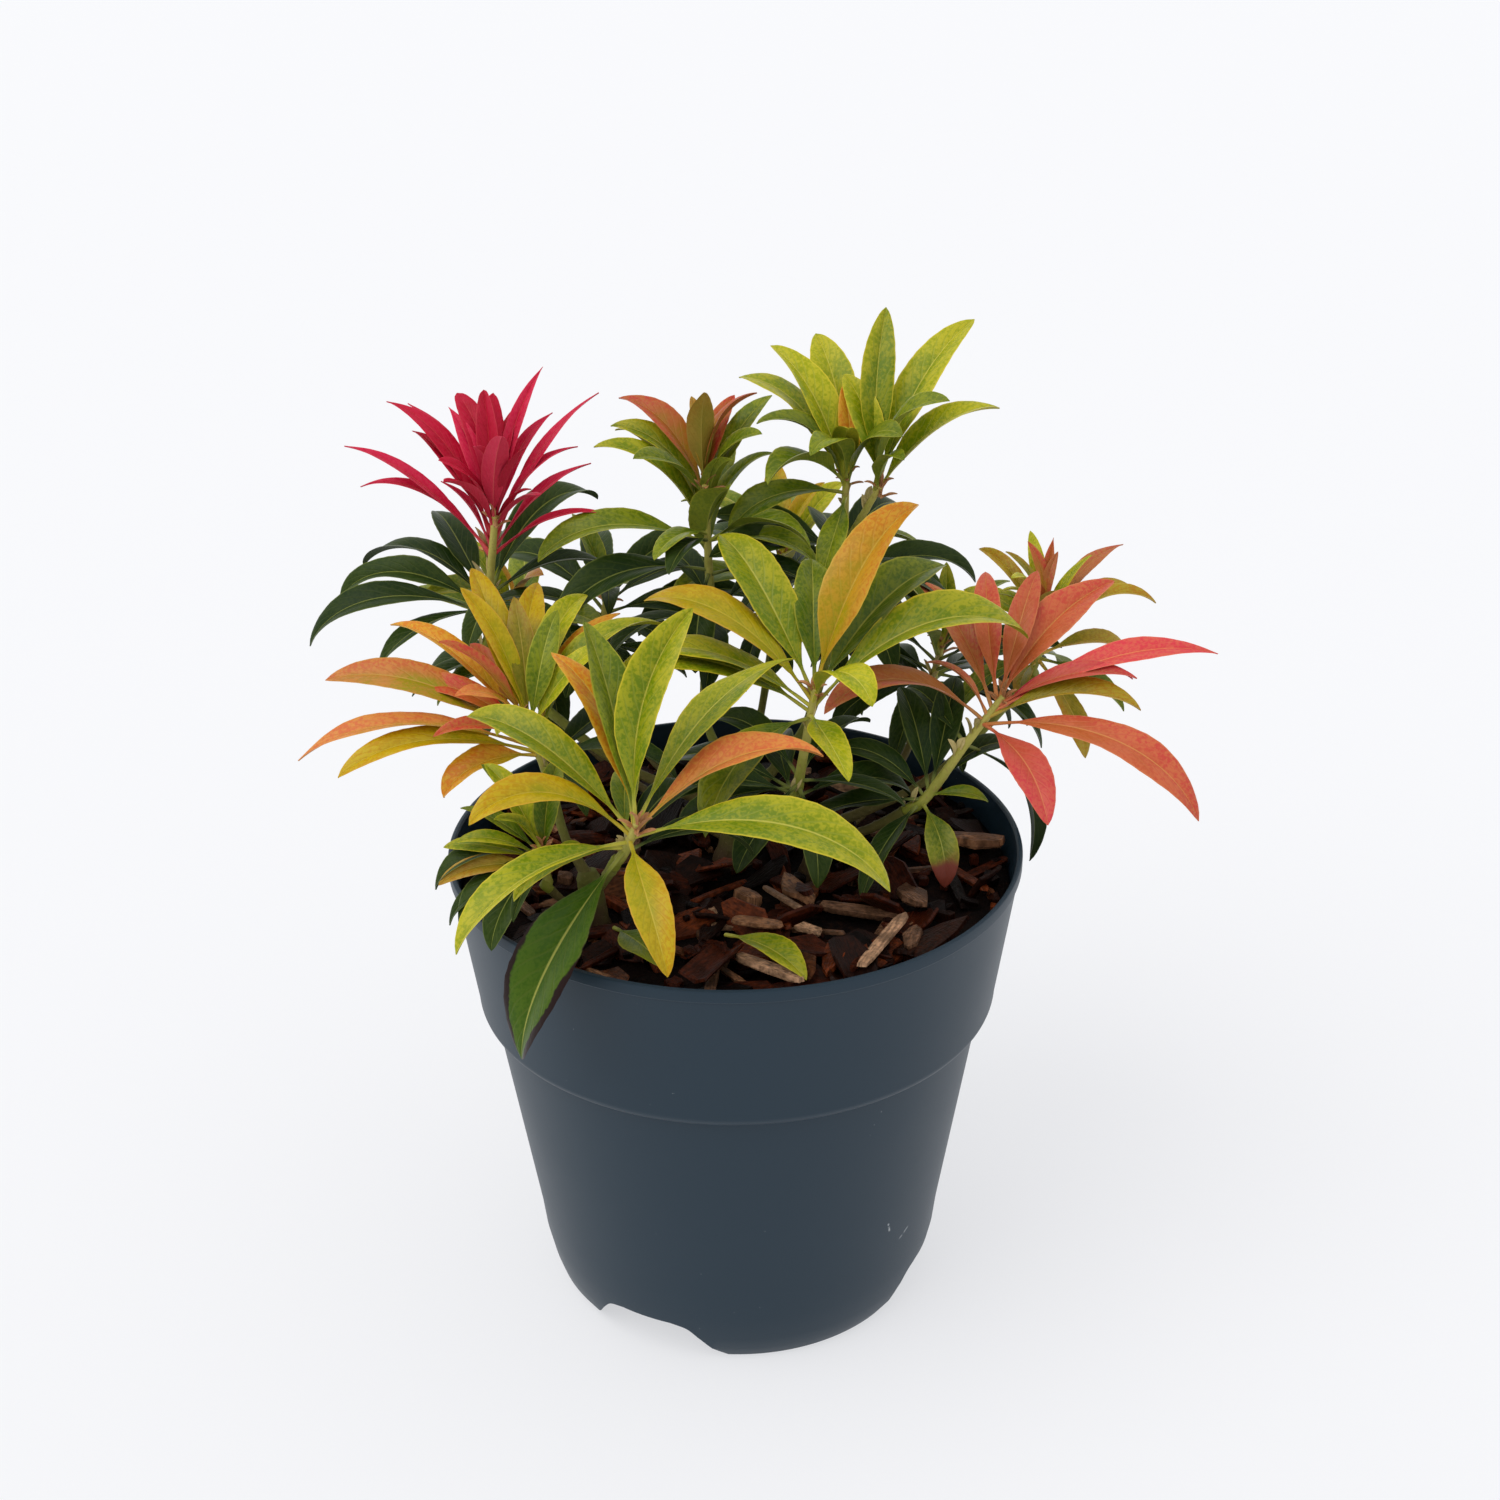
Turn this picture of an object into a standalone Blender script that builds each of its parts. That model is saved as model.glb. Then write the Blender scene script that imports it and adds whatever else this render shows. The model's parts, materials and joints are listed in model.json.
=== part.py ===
# A young pieris shrub in its three litre nursery pot. Its stems stand in bark mulch and
# fork into boughs, and each bough ends in a shoot: one twig that carries whorls of leaves.
# Sizes in the tables are millimetres, and headings are degrees seen from above: 0 is +X,
# the right of the front view, 90 is away from the viewer and 270 is towards the viewer.

import math
import random

import bmesh
import bpy
from mathutils import Vector
from mathutils.bvhtree import BVHTree

MM = 0.001

# The pot
RIM_RADIUS = 95.0
POT_HEIGHT = 164.0
WALL = 1.8
FLOOR = 2.5
POT_SIDES = 48
DRAIN_HEADINGS = (242.0, 342.0, 117.0)
DRAIN_HEIGHT = 15.0
DRAIN_SIDE = ((25.5, 0.0), (21.5, 5.0), (18.0, 10.0), (14.5, 13.6), (9.0, DRAIN_HEIGHT))
DRAIN_INNER_RADIUS = 46.0
DRAIN_HOLE_RADIUS = 4.5
DRAIN_HOLE_REACH = 54.0

# The soil and its mulch
SOIL_LEVEL = 152.0
FIT_GAP = 0.35
CHIP_COUNT = 26
CHIP_REACH = 76.0

# Leaves and twigs
LEAF_THICKNESS_SHARE = 0.017
PETIOLE_SHARE = 0.09
PETIOLE_RADIUS = 0.75
KEEL = math.radians(16)
STATIONS = (0.0, PETIOLE_SHARE, 0.36, 0.70)
LEAF_SPACING = 0.9
TURNS = (0, 7, -7, 14, -14, 21, -21, 30, -30)
CLEARANCE = 0.45
JOINT_GAP = 0.3
GOLDEN_ANGLE = 137.5

# Each stem stands on the soil: foot, top, radius at the foot and at the top.
STEMS = {
    "trunk": ((0, 8), (3, 13, 180), 6.6, 4.9),
    "stem_left": ((-45, -35), (-47, -34, 172), 4.8, 3.9),
    "stem_right": ((26, -3), (30, -2, 174), 4.9, 3.9),
}

# Each bough runs from a stem to the foot of its shoot: stem, height of its start, the
# point it bends through, its end, radius at the start and at the end.
BOUGHS = {
    "bough_red": ("trunk", 168, (-42, 30, 180), (-83, 42, 212), 3.0, 2.4),
    "bough_small_top": ("trunk", 176, (-10, 30, 196), (-7, 46, 222), 2.7, 2.2),
    "bough_top": ("trunk", 172, (24, 34, 190), (35, 54, 224), 3.0, 2.4),
    "bough_dark_centre": ("trunk", 162, (-30, 48, 172), (-47, 66, 198), 2.6, 2.1),
    "bough_back": ("trunk", 166, (8, 60, 176), (14, 88, 200), 2.6, 2.1),
    "bough_back_left": ("trunk", 158, (-44, 60, 162), (-72, 84, 182), 2.5, 2.0),
    "bough_salmon": ("stem_right", 166, (42, -7, 171), (55, -9, 179), 2.8, 2.5),
    "bough_centre": ("stem_right", 172, (24, -9, 178), (19, -14, 183), 2.6, 2.4),
    "bough_back_right": ("stem_right", 170, (66, 18, 178), (100, 42, 202), 2.6, 2.1),
    "bough_right_low": ("stem_right", 161, (52, 36, 165), (68, 68, 182), 2.5, 2.0),
    "bough_front_left": ("stem_left", 165, (-43, -50, 174), (-37, -60, 188), 2.9, 2.5),
    "bough_left": ("stem_left", 170, (-54, -27, 180), (-58, -20, 192), 2.7, 2.3),
    "bough_low_left": ("stem_left", 160, (-52, -42, 164), (-58, -46, 172), 2.2, 1.9),
}


def grown(count, seed, first_heading, rises, lengths, droops):
    """Leaves of a whorl that follow the shoot's own rule, from its lowest to its highest:
    each turned a golden angle on from the last, and steadily more upright and shorter."""
    draw = random.Random(seed)
    rows = []
    for rank in range(count):
        share = rank / (count - 1)

        def between(ends):
            return ends[0] + (ends[1] - ends[0]) * share

        rows.append(
            (
                (first_heading + GOLDEN_ANGLE * rank) % 360,
                between(rises) + draw.uniform(-5, 5),
                between(lengths) * draw.uniform(0.9, 1.08),
                between(droops) + draw.uniform(-8, 8),
            )
        )
    return rows


# Each shoot: the points of its twig from foot to tip, the share of a leaf's length that is
# its width, and its whorls. A whorl is the distance of its highest leaf below the twig's tip
# and its leaves, lowest first: heading, rise of the chord, length and droop along it, and
# for an old broad leaf its own share of width.
SHOOTS = {
    "foliage_red": (
        [(-83, 42, 212), (-82, 42, 232), (-77, 31, 268)],
        0.17,
        [
            (33, [
                (187, -8, 62, 45, 0.26), (168, 0, 54, 50, 0.26), (205, -22, 44, 40, 0.28),
                (152, 6, 52, 42, 0.28), (330, -16, 34, 40, 0.3), (120, 24, 46, 25, 0.3),
                (50, 20, 60, 55, 0.27), (262, -10, 34, 40, 0.3), (20, 2, 44, 40, 0.28),
                (88, 6, 44, 30, 0.3),
            ]),
            (3, [
                (173, 29, 49, 28), (12, 15, 42, 34), (167, 35, 60, 28), (20, 37, 44, 22),
                (204, 59, 31, 16), (31, 48, 62, 18), (149, 47, 59, 20), (324, 52, 29, 16),
                (47, 52, 47, 14), (139, 46, 54, 18), (29, 39, 41, 20), (142, 40, 45, 16),
                (57, 58, 57, 14), (308, 58, 41, 12), (117, 55, 47, 10, 0.22),
                (286, 59, 45, 10, 0.22), (90, 64, 43, 10, 0.22), (100, 68, 43, 8, 0.22),
            ]),
        ],
    ),
    "foliage_small_top": (
        [(-7, 46, 222), (-8, 46, 240), (-9, 45, 273)],
        0.28,
        [
            (46, [
                (205, -16, 42, 40, 0.34), (320, -20, 36, 40, 0.34), (30, 8, 40, 36, 0.32),
                (265, -26, 36, 30, 0.34), (120, 10, 40, 36, 0.32),
            ]),
            (14, [
                (188, -3, 58, 45), (345, -10, 40, 45), (178, 41, 50, 48), (160, 46, 49, 36),
                (240, 4, 34, 36, 0.3), (307, 63, 33, 40), (20, 44, 34, 40), (146, 36, 46, 34),
                (80, 24, 40, 34),
            ]),
            (1, [
                (146, 40, 46, 44), (17, 62, 39, 34), (36, 46, 40, 26), (272, 75, 39, 24),
                (57, 56, 33, 20), (110, 66, 30, 14),
            ]),
        ],
    ),
    "foliage_top": (
        [(35, 54, 224), (37, 55, 246), (38, 56, 272)],
        0.32,
        [
            (34, [
                (225, -34, 40, 30, 0.34), (300, -30, 40, 30, 0.34), (14, -6, 50, 42, 0.3),
                (195, -14, 40, 50, 0.34), (340, 4, 36, 40, 0.34), (150, 12, 50, 30, 0.3),
                (60, 12, 46, 30, 0.32), (100, 2, 44, 36, 0.32),
            ]),
            (2, [
                (230, -38, 34, 40), (196, -14, 44, 70), (157, 39, 54, 50), (142, 54, 54, 34),
                (245, 34, 38, 70), (95, 38, 54, 26), (105, 48, 54, 22),
            ]),
        ],
    ),
    "foliage_centre": (
        [(19, -14, 183), (22, -12, 200), (26, -10, 224)],
        0.33,
        [
            (30, [
                (192, -16, 42, 30, 0.32), (282, -40, 36, 30, 0.36), (232, -30, 38, 30, 0.36),
                (345, -8, 36, 40, 0.34), (140, 12, 40, 36, 0.32), (50, 8, 38, 30, 0.32),
            ]),
            (1, [
                (234, -18, 60, 30), (286, -7, 40, 40), (173, 10, 65, 40), (10, 15, 75, 46),
                (168, 14, 58, 34), (304, 20, 37, 90), (165, 28, 65, 56), (43, 25, 68, 30),
                (126, 38, 65, 34), (43, 48, 71, 40), (90, 40, 48, 30),
            ]),
        ],
    ),
    "foliage_front_left": (
        [(-37, -60, 188), (-33, -65, 196), (-29, -70, 208)],
        0.28,
        [
            (11, [(223, -52, 71, 20, 0.4), (196, -20, 38, 30, 0.28), (90, 6, 40, 40)]),
            (1, [
                (217, -15, 66, 50), (285, -24, 52, 40), (346, -6, 82, 46), (200, 15, 53, 54),
                (18, 15, 65, 50), (154, 26, 64, 44), (39, 31, 76, 44), (133, 52, 59, 18),
                (118, 60, 64, 16), (45, 68, 68, 18),
            ]),
        ],
    ),
    "foliage_left": (
        [(-58, -20, 192), (-61, -17, 202), (-67, -14, 217)],
        0.24,
        [
            (2, [
                (204, -14, 35, 60), (195, 0, 65, 40), (30, 34, 60, 60), (186, 0, 76, 32),
                (203, 16, 36, 60), (48, 38, 52, 34), (171, 14, 70, 32), (164, 15, 45, 30),
                (150, 27, 60, 20), (66, 36, 53, 30), (120, 48, 57, 20), (87, 40, 52, 20),
                (132, 34, 34, 14), (125, 46, 30, 40),
            ]),
        ],
    ),
    "foliage_salmon": (
        [(55, -9, 179), (62, -9, 184), (76, -3, 202), (87, 0, 216)],
        0.27,
        [
            (38, [
                (235, -30, 40, 30, 0.32), (288, -44, 30, 30, 0.4), (180, -8, 40, 30, 0.32),
                (162, 22, 34, 30, 0.34), (350, -2, 20, 20, 0.34), (108, 44, 38, 20, 0.34),
                (72, 40, 42, 20, 0.32), (30, 6, 38, 36, 0.32),
            ]),
            (20, [(34, -67, 58, 44, 0.2), (120, 10, 36, 30, 0.3)]),
            (2, [
                (332, -13, 78, 36), (292, -18, 49, 30), (195, 10, 56, 44), (349, 8, 51, 44),
                (166, 40, 27, 30), (4, 14, 77, 34), (12, 8, 49, 30), (118, 30, 56, 22),
                (352, 16, 47, 22), (38, 30, 60, 16), (92, 36, 50, 16), (66, 42, 48, 18),
            ]),
        ],
    ),
    "foliage_back_right": (
        [(100, 42, 202), (103, 43, 212), (105, 44, 226)],
        0.28,
        [
            (14, [(310, -50, 38, 20), (25, -14, 40, 40), (80, 6, 38, 36)]),
            (1, [
                (8, 15, 42, 50), (156, 24, 31, 20), (25, 20, 36, 36), (132, 35, 37, 20),
                (36, 32, 42, 18), (200, 36, 26, 20), (100, 52, 33, 14), (237, 47, 31, 24),
                (76, 58, 28, 14), (120, 64, 26, 12),
            ]),
        ],
    ),
    "foliage_dark_centre": (
        [(-47, 66, 198), (-46, 68, 210), (-44, 70, 224)],
        0.30,
        [
            (2, [
                (215, -16, 44, 40), (320, -8, 40, 40), (250, -24, 38, 30), (180, 4, 42, 36),
                (355, -6, 44, 40), (140, 8, 52, 34), (46, 12, 50, 34), (95, 14, 48, 26),
                (15, 12, 42, 30), (275, 14, 32, 40), (120, 44, 34, 20),
            ]),
        ],
    ),
    "foliage_low_left": (
        [(-58, -46, 172), (-59, -46, 178), (-60, -46, 187)],
        0.25,
        [
            (1, [
                (200, -24, 35, 34), (190, -6, 34, 36), (250, -18, 26, 40), (178, 8, 32, 36),
                (187, 16, 28, 30), (164, 26, 30, 24), (142, 44, 34, 20), (210, 44, 22, 20),
            ]),
        ],
    ),
    "foliage_back": (
        [(14, 88, 200), (15, 91, 212), (17, 94, 226)],
        0.28,
        [
            (12, grown(7, 11, 20, (-16, 6), (56, 50), (50, 40))),
            (1, grown(11, 12, 75, (8, 66), (58, 34), (44, 18))),
        ],
    ),
    "foliage_back_left": (
        [(-72, 84, 182), (-74, 86, 192), (-78, 89, 206)],
        0.27,
        [
            (12, grown(6, 21, 150, (-18, 0), (52, 48), (50, 40))),
            (1, grown(10, 22, 40, (6, 64), (56, 34), (44, 18))),
        ],
    ),
    "foliage_right_low": (
        [(68, 68, 182), (70, 71, 190), (73, 75, 202)],
        0.27,
        [
            (10, grown(6, 31, 335, (-18, 0), (50, 46), (50, 40))),
            (1, grown(9, 32, 60, (6, 62), (54, 32), (44, 18))),
        ],
    ),
}

# The top shoot forks: a second twig and its own whorl.
SIDE_TWIG = ("foliage_top", [(37, 55, 246), (42, 53, 256), (49, 50, 270)])
SIDE_WHORL = (1, [
    (17, 31, 53, 44), (340, 55, 46, 66), (43, 47, 69, 28), (290, 40, 30, 50),
    (83, 63, 61, 14), (120, 56, 40, 16),
])

COLOURS = {
    "pot": ((0.045, 0.062, 0.082), 0.5),
    "soil": ((0.060, 0.026, 0.015), 0.95),
    "stems": ((0.200, 0.190, 0.060), 0.7),
    "foliage_red": ((0.560, 0.030, 0.055), 0.45),
    "foliage_salmon": ((0.620, 0.110, 0.060), 0.45),
    "foliage_left": ((0.560, 0.280, 0.025), 0.45),
    "foliage_back_right": ((0.480, 0.240, 0.040), 0.45),
    "foliage_dark_centre": ((0.020, 0.060, 0.018), 0.4),
    "foliage": ((0.240, 0.300, 0.012), 0.4),
}


def clear_scene():
    for obj in list(bpy.data.objects):
        bpy.data.objects.remove(obj, do_unlink=True)


def material(key):
    found = bpy.data.materials.get(key)
    if found:
        return found
    colour, roughness = COLOURS[key]
    made = bpy.data.materials.new(key)
    made.use_nodes = True
    shader = made.node_tree.nodes["Principled BSDF"]
    shader.inputs["Base Color"].default_value = (*colour, 1.0)
    shader.inputs["Roughness"].default_value = roughness
    shader.inputs["Metallic"].default_value = 0.0
    return made


def link_part(obj, colour):
    """Puts a finished piece in the plant's collection, with its material."""
    PLANT.objects.link(obj)
    obj.data.materials.clear()
    obj.data.materials.append(material(colour))
    return obj


def helper(obj):
    """Puts a cutter or other helper in the collection that no render shows."""
    HELPERS.objects.link(obj)
    obj.hide_render = True
    obj.display_type = "WIRE"
    return obj


def baked(obj, name):
    """A plain mesh object of what obj looks like with its modifiers, its seams welded."""
    bpy.context.view_layer.update()
    graph = bpy.context.evaluated_depsgraph_get()
    mesh = bpy.data.meshes.new_from_object(obj.evaluated_get(graph), depsgraph=graph)
    mesh.transform(obj.matrix_world)
    bm = bmesh.new()
    bm.from_mesh(mesh)
    bmesh.ops.remove_doubles(bm, verts=bm.verts, dist=1e-6)
    bm.to_mesh(mesh)
    bm.free()
    mesh.name = name
    return bpy.data.objects.new(name, mesh)


def discard(*objects):
    for obj in objects:
        bpy.data.objects.remove(obj, do_unlink=True)


def turned(name, outline):
    """A closed round solid: the outline of (radius, height) runs from its top down."""
    mesh = bpy.data.meshes.new(name)
    points = [(radius * MM, 0.0, height * MM) for radius, height in outline]
    mesh.from_pydata(points, [(i, i + 1) for i in range(len(points) - 1)], [])
    obj = bpy.data.objects.new(name, mesh)
    screw = obj.modifiers.new("turn", "SCREW")
    screw.axis = "Z"
    screw.steps = POT_SIDES
    screw.render_steps = POT_SIDES
    screw.use_merge_vertices = True
    screw.merge_threshold = 1e-6
    return obj


def arc(centre, radius, start, end, count):
    """Points of (radius, height) along an arc, its angles in degrees."""
    return [
        (
            centre[0] + radius * math.cos(math.radians(start + (end - start) * i / count)),
            centre[1] + radius * math.sin(math.radians(start + (end - start) * i / count)),
        )
        for i in range(count + 1)
    ]


def wall_outline(inset):
    """The side of the pot from rim to foot, taken in by the inset."""
    collar = [(RIM_RADIUS - inset, POT_HEIGHT), (87.4 - inset, 114.0)]
    fillet = arc((83.2 - inset, 113.2), 4.2, -5, -85, 3)
    body = [(82.8 - inset, 108.2), (70.2 - inset, 30.0)]
    foot = [(69.0 - inset, 20.0), (66.8 - inset, 10.0), (65.0 - inset, 4.5)]
    return collar + fillet + body + foot


def drain_cutters(name, wider):
    """The arched recesses at the pot's foot, each side moved out by wider. An arch is the
    same on both sides, and it runs outward from near the pot's axis."""
    right = [(across + wider, height + wider) for across, height in DRAIN_SIDE]
    right.insert(0, (DRAIN_SIDE[0][0] + 1.0 + wider, -2.0))
    arch = right + [(-across, height) for across, height in reversed(right)]
    cutters = []
    for index, degrees in enumerate(DRAIN_HEADINGS):
        points = [
            (reach * MM, across * MM, height * MM)
            for reach in (DRAIN_INNER_RADIUS - wider, RIM_RADIUS)
            for across, height in arch
        ]
        count = len(arch)
        faces = [tuple(reversed(range(count))), tuple(range(count, 2 * count))]
        for i in range(count):
            j = (i + 1) % count
            faces.append((i, j, j + count, i + count))
        mesh = bpy.data.meshes.new(f"{name}_{index}")
        mesh.from_pydata(points, [], faces)
        cutter = bpy.data.objects.new(f"{name}_{index}", mesh)
        cutter.rotation_euler = (0.0, 0.0, math.radians(degrees))
        cutters.append(helper(cutter))
    return cutters


def drain_holes():
    """A round hole through the roof of each recess."""
    cutters = []
    for index, degrees in enumerate(DRAIN_HEADINGS):
        heading = math.radians(degrees)
        mesh = bpy.data.meshes.new(f"drain_hole_{index}")
        bm = bmesh.new()
        bmesh.ops.create_cone(
            bm,
            cap_ends=True,
            segments=16,
            radius1=DRAIN_HOLE_RADIUS * MM,
            radius2=DRAIN_HOLE_RADIUS * MM,
            depth=8 * MM,
        )
        bm.to_mesh(mesh)
        bm.free()
        cutter = bpy.data.objects.new(f"drain_hole_{index}", mesh)
        cutter.location = (
            DRAIN_HOLE_REACH * MM * math.cos(heading),
            DRAIN_HOLE_REACH * MM * math.sin(heading),
            DRAIN_HEIGHT * MM,
        )
        cutters.append(helper(cutter))
    return cutters


def combine(obj, others, operation, solver="EXACT"):
    """One Boolean on a collection of the others."""
    group = bpy.data.collections.new(f"{obj.name}_{operation.lower()}")
    bpy.context.scene.collection.children.link(group)
    group.hide_render = True
    for other in others:
        group.objects.link(other)
    boolean = obj.modifiers.new(operation.lower(), "BOOLEAN")
    boolean.operation = operation
    boolean.operand_type = "COLLECTION"
    boolean.collection = group
    boolean.solver = solver
    return group


def hollow(name, inset, top, floor, recess_clearance):
    """The space inside the pot: the wall taken in, and the drain recesses kept out of it."""
    side = wall_outline(inset)
    slope = (side[0][0] - side[1][0]) / (side[0][1] - side[1][1])
    side[0] = (side[0][0] + slope * (top - POT_HEIGHT), top)
    outline = [(0.0, top)] + side + [(61.0 - inset, floor), (0.0, floor)]
    solid = helper(turned(name, outline))
    combine(solid, drain_cutters(name + "_recess", recess_clearance), "DIFFERENCE")
    return solid


def make_pot():
    outline = [(0.0, POT_HEIGHT)] + wall_outline(0.0) + [(62.0, 0.0), (0.0, 0.0)]
    pot = helper(turned("pot_blank", outline))
    space = hollow("pot_space", WALL, POT_HEIGHT + 5.0, FLOOR, WALL)
    combine(pot, drain_cutters("drain", 0.0) + drain_holes() + [space], "DIFFERENCE")
    made = baked(pot, "pot")
    discard(pot)
    return link_part(made, "pot")


def bark_chip(draw, index):
    """A flat splinter of bark that lies sunk in the soil, well clear of the stems."""
    while True:
        heading = draw.uniform(0, 2 * math.pi)
        radius = CHIP_REACH * math.sqrt(draw.uniform(0.05, 1.0))
        spot = Vector((radius * math.cos(heading), radius * math.sin(heading), SOIL_LEVEL))
        feet = (Vector((*foot, SOIL_LEVEL)) for foot, _, _, _ in STEMS.values())
        if all((spot - foot).length > 22 for foot in feet):
            break
    mesh = bpy.data.meshes.new(f"chip_{index}")
    bm = bmesh.new()
    bmesh.ops.create_cube(bm, size=1.0)
    size = Vector((draw.uniform(10, 24), draw.uniform(5, 9), draw.uniform(4, 6)))
    bmesh.ops.scale(bm, vec=size * MM, verts=bm.verts)
    bm.to_mesh(mesh)
    bm.free()
    chip = bpy.data.objects.new(f"chip_{index}", mesh)
    chip.location = spot * MM
    tilt = math.radians(9)
    chip.rotation_euler = (
        draw.uniform(-tilt, tilt),
        draw.uniform(-tilt, tilt),
        draw.uniform(0, math.pi),
    )
    return helper(chip)


def make_soil():
    draw = random.Random(7)
    fill = hollow("soil_blank", WALL + FIT_GAP, SOIL_LEVEL, FLOOR + FIT_GAP, WALL + FIT_GAP)
    chips = [bark_chip(draw, index) for index in range(CHIP_COUNT)]
    combine(fill, chips, "UNION")
    made = baked(fill, "soil")
    discard(fill)
    return link_part(made, "soil")


def bend(points, count):
    """Evenly spread points of the smooth curve through the control points, with the share
    of the way along that each has."""
    points = [Vector(point) for point in points]
    found = []
    for step in range(count + 1):
        along = step / count * (len(points) - 1)
        first = min(int(along), len(points) - 2)
        share = along - first
        before = points[max(first - 1, 0)]
        start, end = points[first], points[first + 1]
        after = points[min(first + 2, len(points) - 1)]
        found.append(
            0.5
            * (
                2 * start
                + (end - before) * share
                + (2 * before - 5 * start + 4 * end - after) * share**2
                + (3 * start - before - 3 * end + after) * share**3
            )
        )
    return found


def tube(name, points, radii, sides_step=1):
    """A closed tapering limb along the points, each with its own radius."""
    curve = bpy.data.curves.new(name, "CURVE")
    curve.dimensions = "3D"
    curve.bevel_depth = MM
    curve.bevel_resolution = sides_step
    curve.use_fill_caps = True
    spline = curve.splines.new("POLY")
    spline.points.add(len(points) - 1)
    for spot, point, radius in zip(spline.points, points, radii):
        spot.co = (*(Vector(point) * MM), 1.0)
        spot.radius = radius
    obj = helper(bpy.data.objects.new(name + "_path", curve))
    made = baked(obj, name)
    discard(obj)
    return made


def stem_shape(name, grow):
    """A stem with its root flare, every side moved out by grow. It rises straight at its
    foot, so that its cut end is level, and leans above that."""
    (x, y), top, foot_radius, top_radius = STEMS[name]
    level = SOIL_LEVEL + JOINT_GAP
    foot = Vector((x, y, level))
    head = Vector(top)
    height = head.z - level
    flare = ((0.0, 1.45), (0.1, 1.2), (0.25, 1.05), (0.6, 0.98), (0.9, 0.95), (1.0, 0.72))
    points, radii = [], []
    for share, swell in flare:
        spot = foot.lerp(head, max(share - 0.1, 0.0) / 0.9)
        spot.z = level + height * share + (grow if share == 1.0 else 0.0)
        points.append(spot)
        radii.append((foot_radius + (top_radius - foot_radius) * share) * swell + grow)
    points[0].z -= grow
    return tube(name, points, radii, sides_step=2)


def make_stems():
    for name in STEMS:
        link_part(stem_shape(name, 0.0), "stems")


def bough_path(name):
    stem, height, through, end, thick, thin = BOUGHS[name]
    (x, y), top, _, _ = STEMS[stem]
    share = (height - SOIL_LEVEL) / (top[2] - SOIL_LEVEL)
    start = Vector((x, y, SOIL_LEVEL)).lerp(Vector(top), share)
    return bend([start, through, end], 6), thick, thin


def make_boughs():
    """Each bough starts inside its stem and is cut clear of it all round."""
    for name, (stem, *_) in BOUGHS.items():
        points, thick, thin = bough_path(name)
        last = len(points) - 1
        radii = [thick + (thin - thick) * i / last for i in range(last + 1)]
        limb = helper(tube(name + "_blank", points, radii))
        cutter = helper(stem_shape(stem, JOINT_GAP))
        combine(limb, [cutter], "DIFFERENCE")
        made = baked(limb, name)
        discard(limb, cutter)
        link_part(made, "stems")


def shoot_path(name, points):
    """The twig's points. It sets off in the direction that its bough ends in, so that the
    two flat ends stand a gap apart and face each other."""
    limb, _, _ = bough_path(name.replace("foliage", "bough"))
    onward = (limb[-1] - limb[-2]).normalized()
    path = bend(points, 8)
    start = path[0] + onward * JOINT_GAP
    return [start, start + onward * 3.0] + path[2:]


def spot_below_tip(path, below):
    """The point of the twig that lies this far below its tip, measured along it."""
    for index in range(len(path) - 1, 0, -1):
        step = (path[index] - path[index - 1]).length
        if below <= step or index == 1:
            return path[index].lerp(path[index - 1], min(below / step, 0.95))
        below -= step


def blade_width(share):
    """A leaf's half outline from petiole to tip, as a share of its greatest width."""
    along = max(share - PETIOLE_SHARE, 0.0) / (1 - PETIOLE_SHARE)
    return math.sin(math.pi * along**1.15) ** 0.7


def leaf_sections(root, heading, rise, length, droop, width, grow):
    """The leaf's cross sections, each a left edge, ridge, right edge and keel point, then
    its tip. The midrib is an arc in the upright plane of its heading."""
    turn = math.radians(heading)
    ahead = Vector((math.cos(turn), math.sin(turn), 0.0))
    side = Vector((-math.sin(turn), math.cos(turn), 0.0))
    up = Vector((0.0, 0.0, 1.0))
    half = max(length * LEAF_THICKNESS_SHARE / 2, 0.45) + grow
    spot, reached = Vector(root), 0.0
    sections = []
    for share in (*STATIONS, 1.0):
        middle = (share + reached) / 2
        lift = math.radians(rise + droop * (0.5 - middle))
        spot = spot + (ahead * math.cos(lift) + up * math.sin(lift)) * length * (share - reached)
        reached = share
        lift = math.radians(rise + droop * (0.5 - share))
        normal = up * math.cos(lift) - ahead * math.sin(lift)
        if share == 1.0:
            tip = spot + (ahead * math.cos(lift) + up * math.sin(lift)) * grow
            return sections, tip
        spread = max(blade_width(share) * width / 2, PETIOLE_RADIUS) + grow
        keel = KEEL if share > PETIOLE_SHARE else 0.0
        out = side * spread * math.cos(keel)
        raised = normal * spread * math.sin(keel)
        sections.append(
            [spot + out + raised, spot + normal * half, spot - out + raised, spot - normal * half]
        )


def leaf_mesh(sections, tip):
    """(points, faces) of the closed leaf, in metres, facing out."""
    points = [point * MM for section in sections for point in section] + [tip * MM]
    faces = [(3, 2, 1, 0)]
    for row in range(len(sections) - 1):
        for corner in range(4):
            a, b = 4 * row + corner, 4 * row + (corner + 1) % 4
            faces.append((a, b, b + 4, a + 4))
    last = 4 * (len(sections) - 1)
    faces += [(last + corner, last + (corner + 1) % 4, len(points) - 1) for corner in range(4)]
    return points, faces


def tree_of(points, faces):
    return BVHTree.FromPolygons(points, faces)


def tree_of_object(obj):
    matrix = obj.matrix_world
    points = [matrix @ vertex.co for vertex in obj.data.vertices]
    return tree_of(points, [tuple(face.vertices) for face in obj.data.polygons])


def clear_leaf(root, row, ratio, taken):
    """The leaf turned by the first of TURNS that keeps it clear of everything taken, or
    None where no turn does, and the leaf is left out."""
    heading, rise, length, droop, *own_ratio = row
    width = length * (own_ratio[0] if own_ratio else ratio)
    for turn in TURNS:
        shape = (heading + turn, rise, length, droop, width)
        guard = tree_of(*leaf_mesh(*leaf_sections(root, *shape, CLEARANCE)))
        if not any(guard.overlap(other) for other in taken):
            return leaf_mesh(*leaf_sections(root, *shape, 0.0))
    return None


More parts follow.
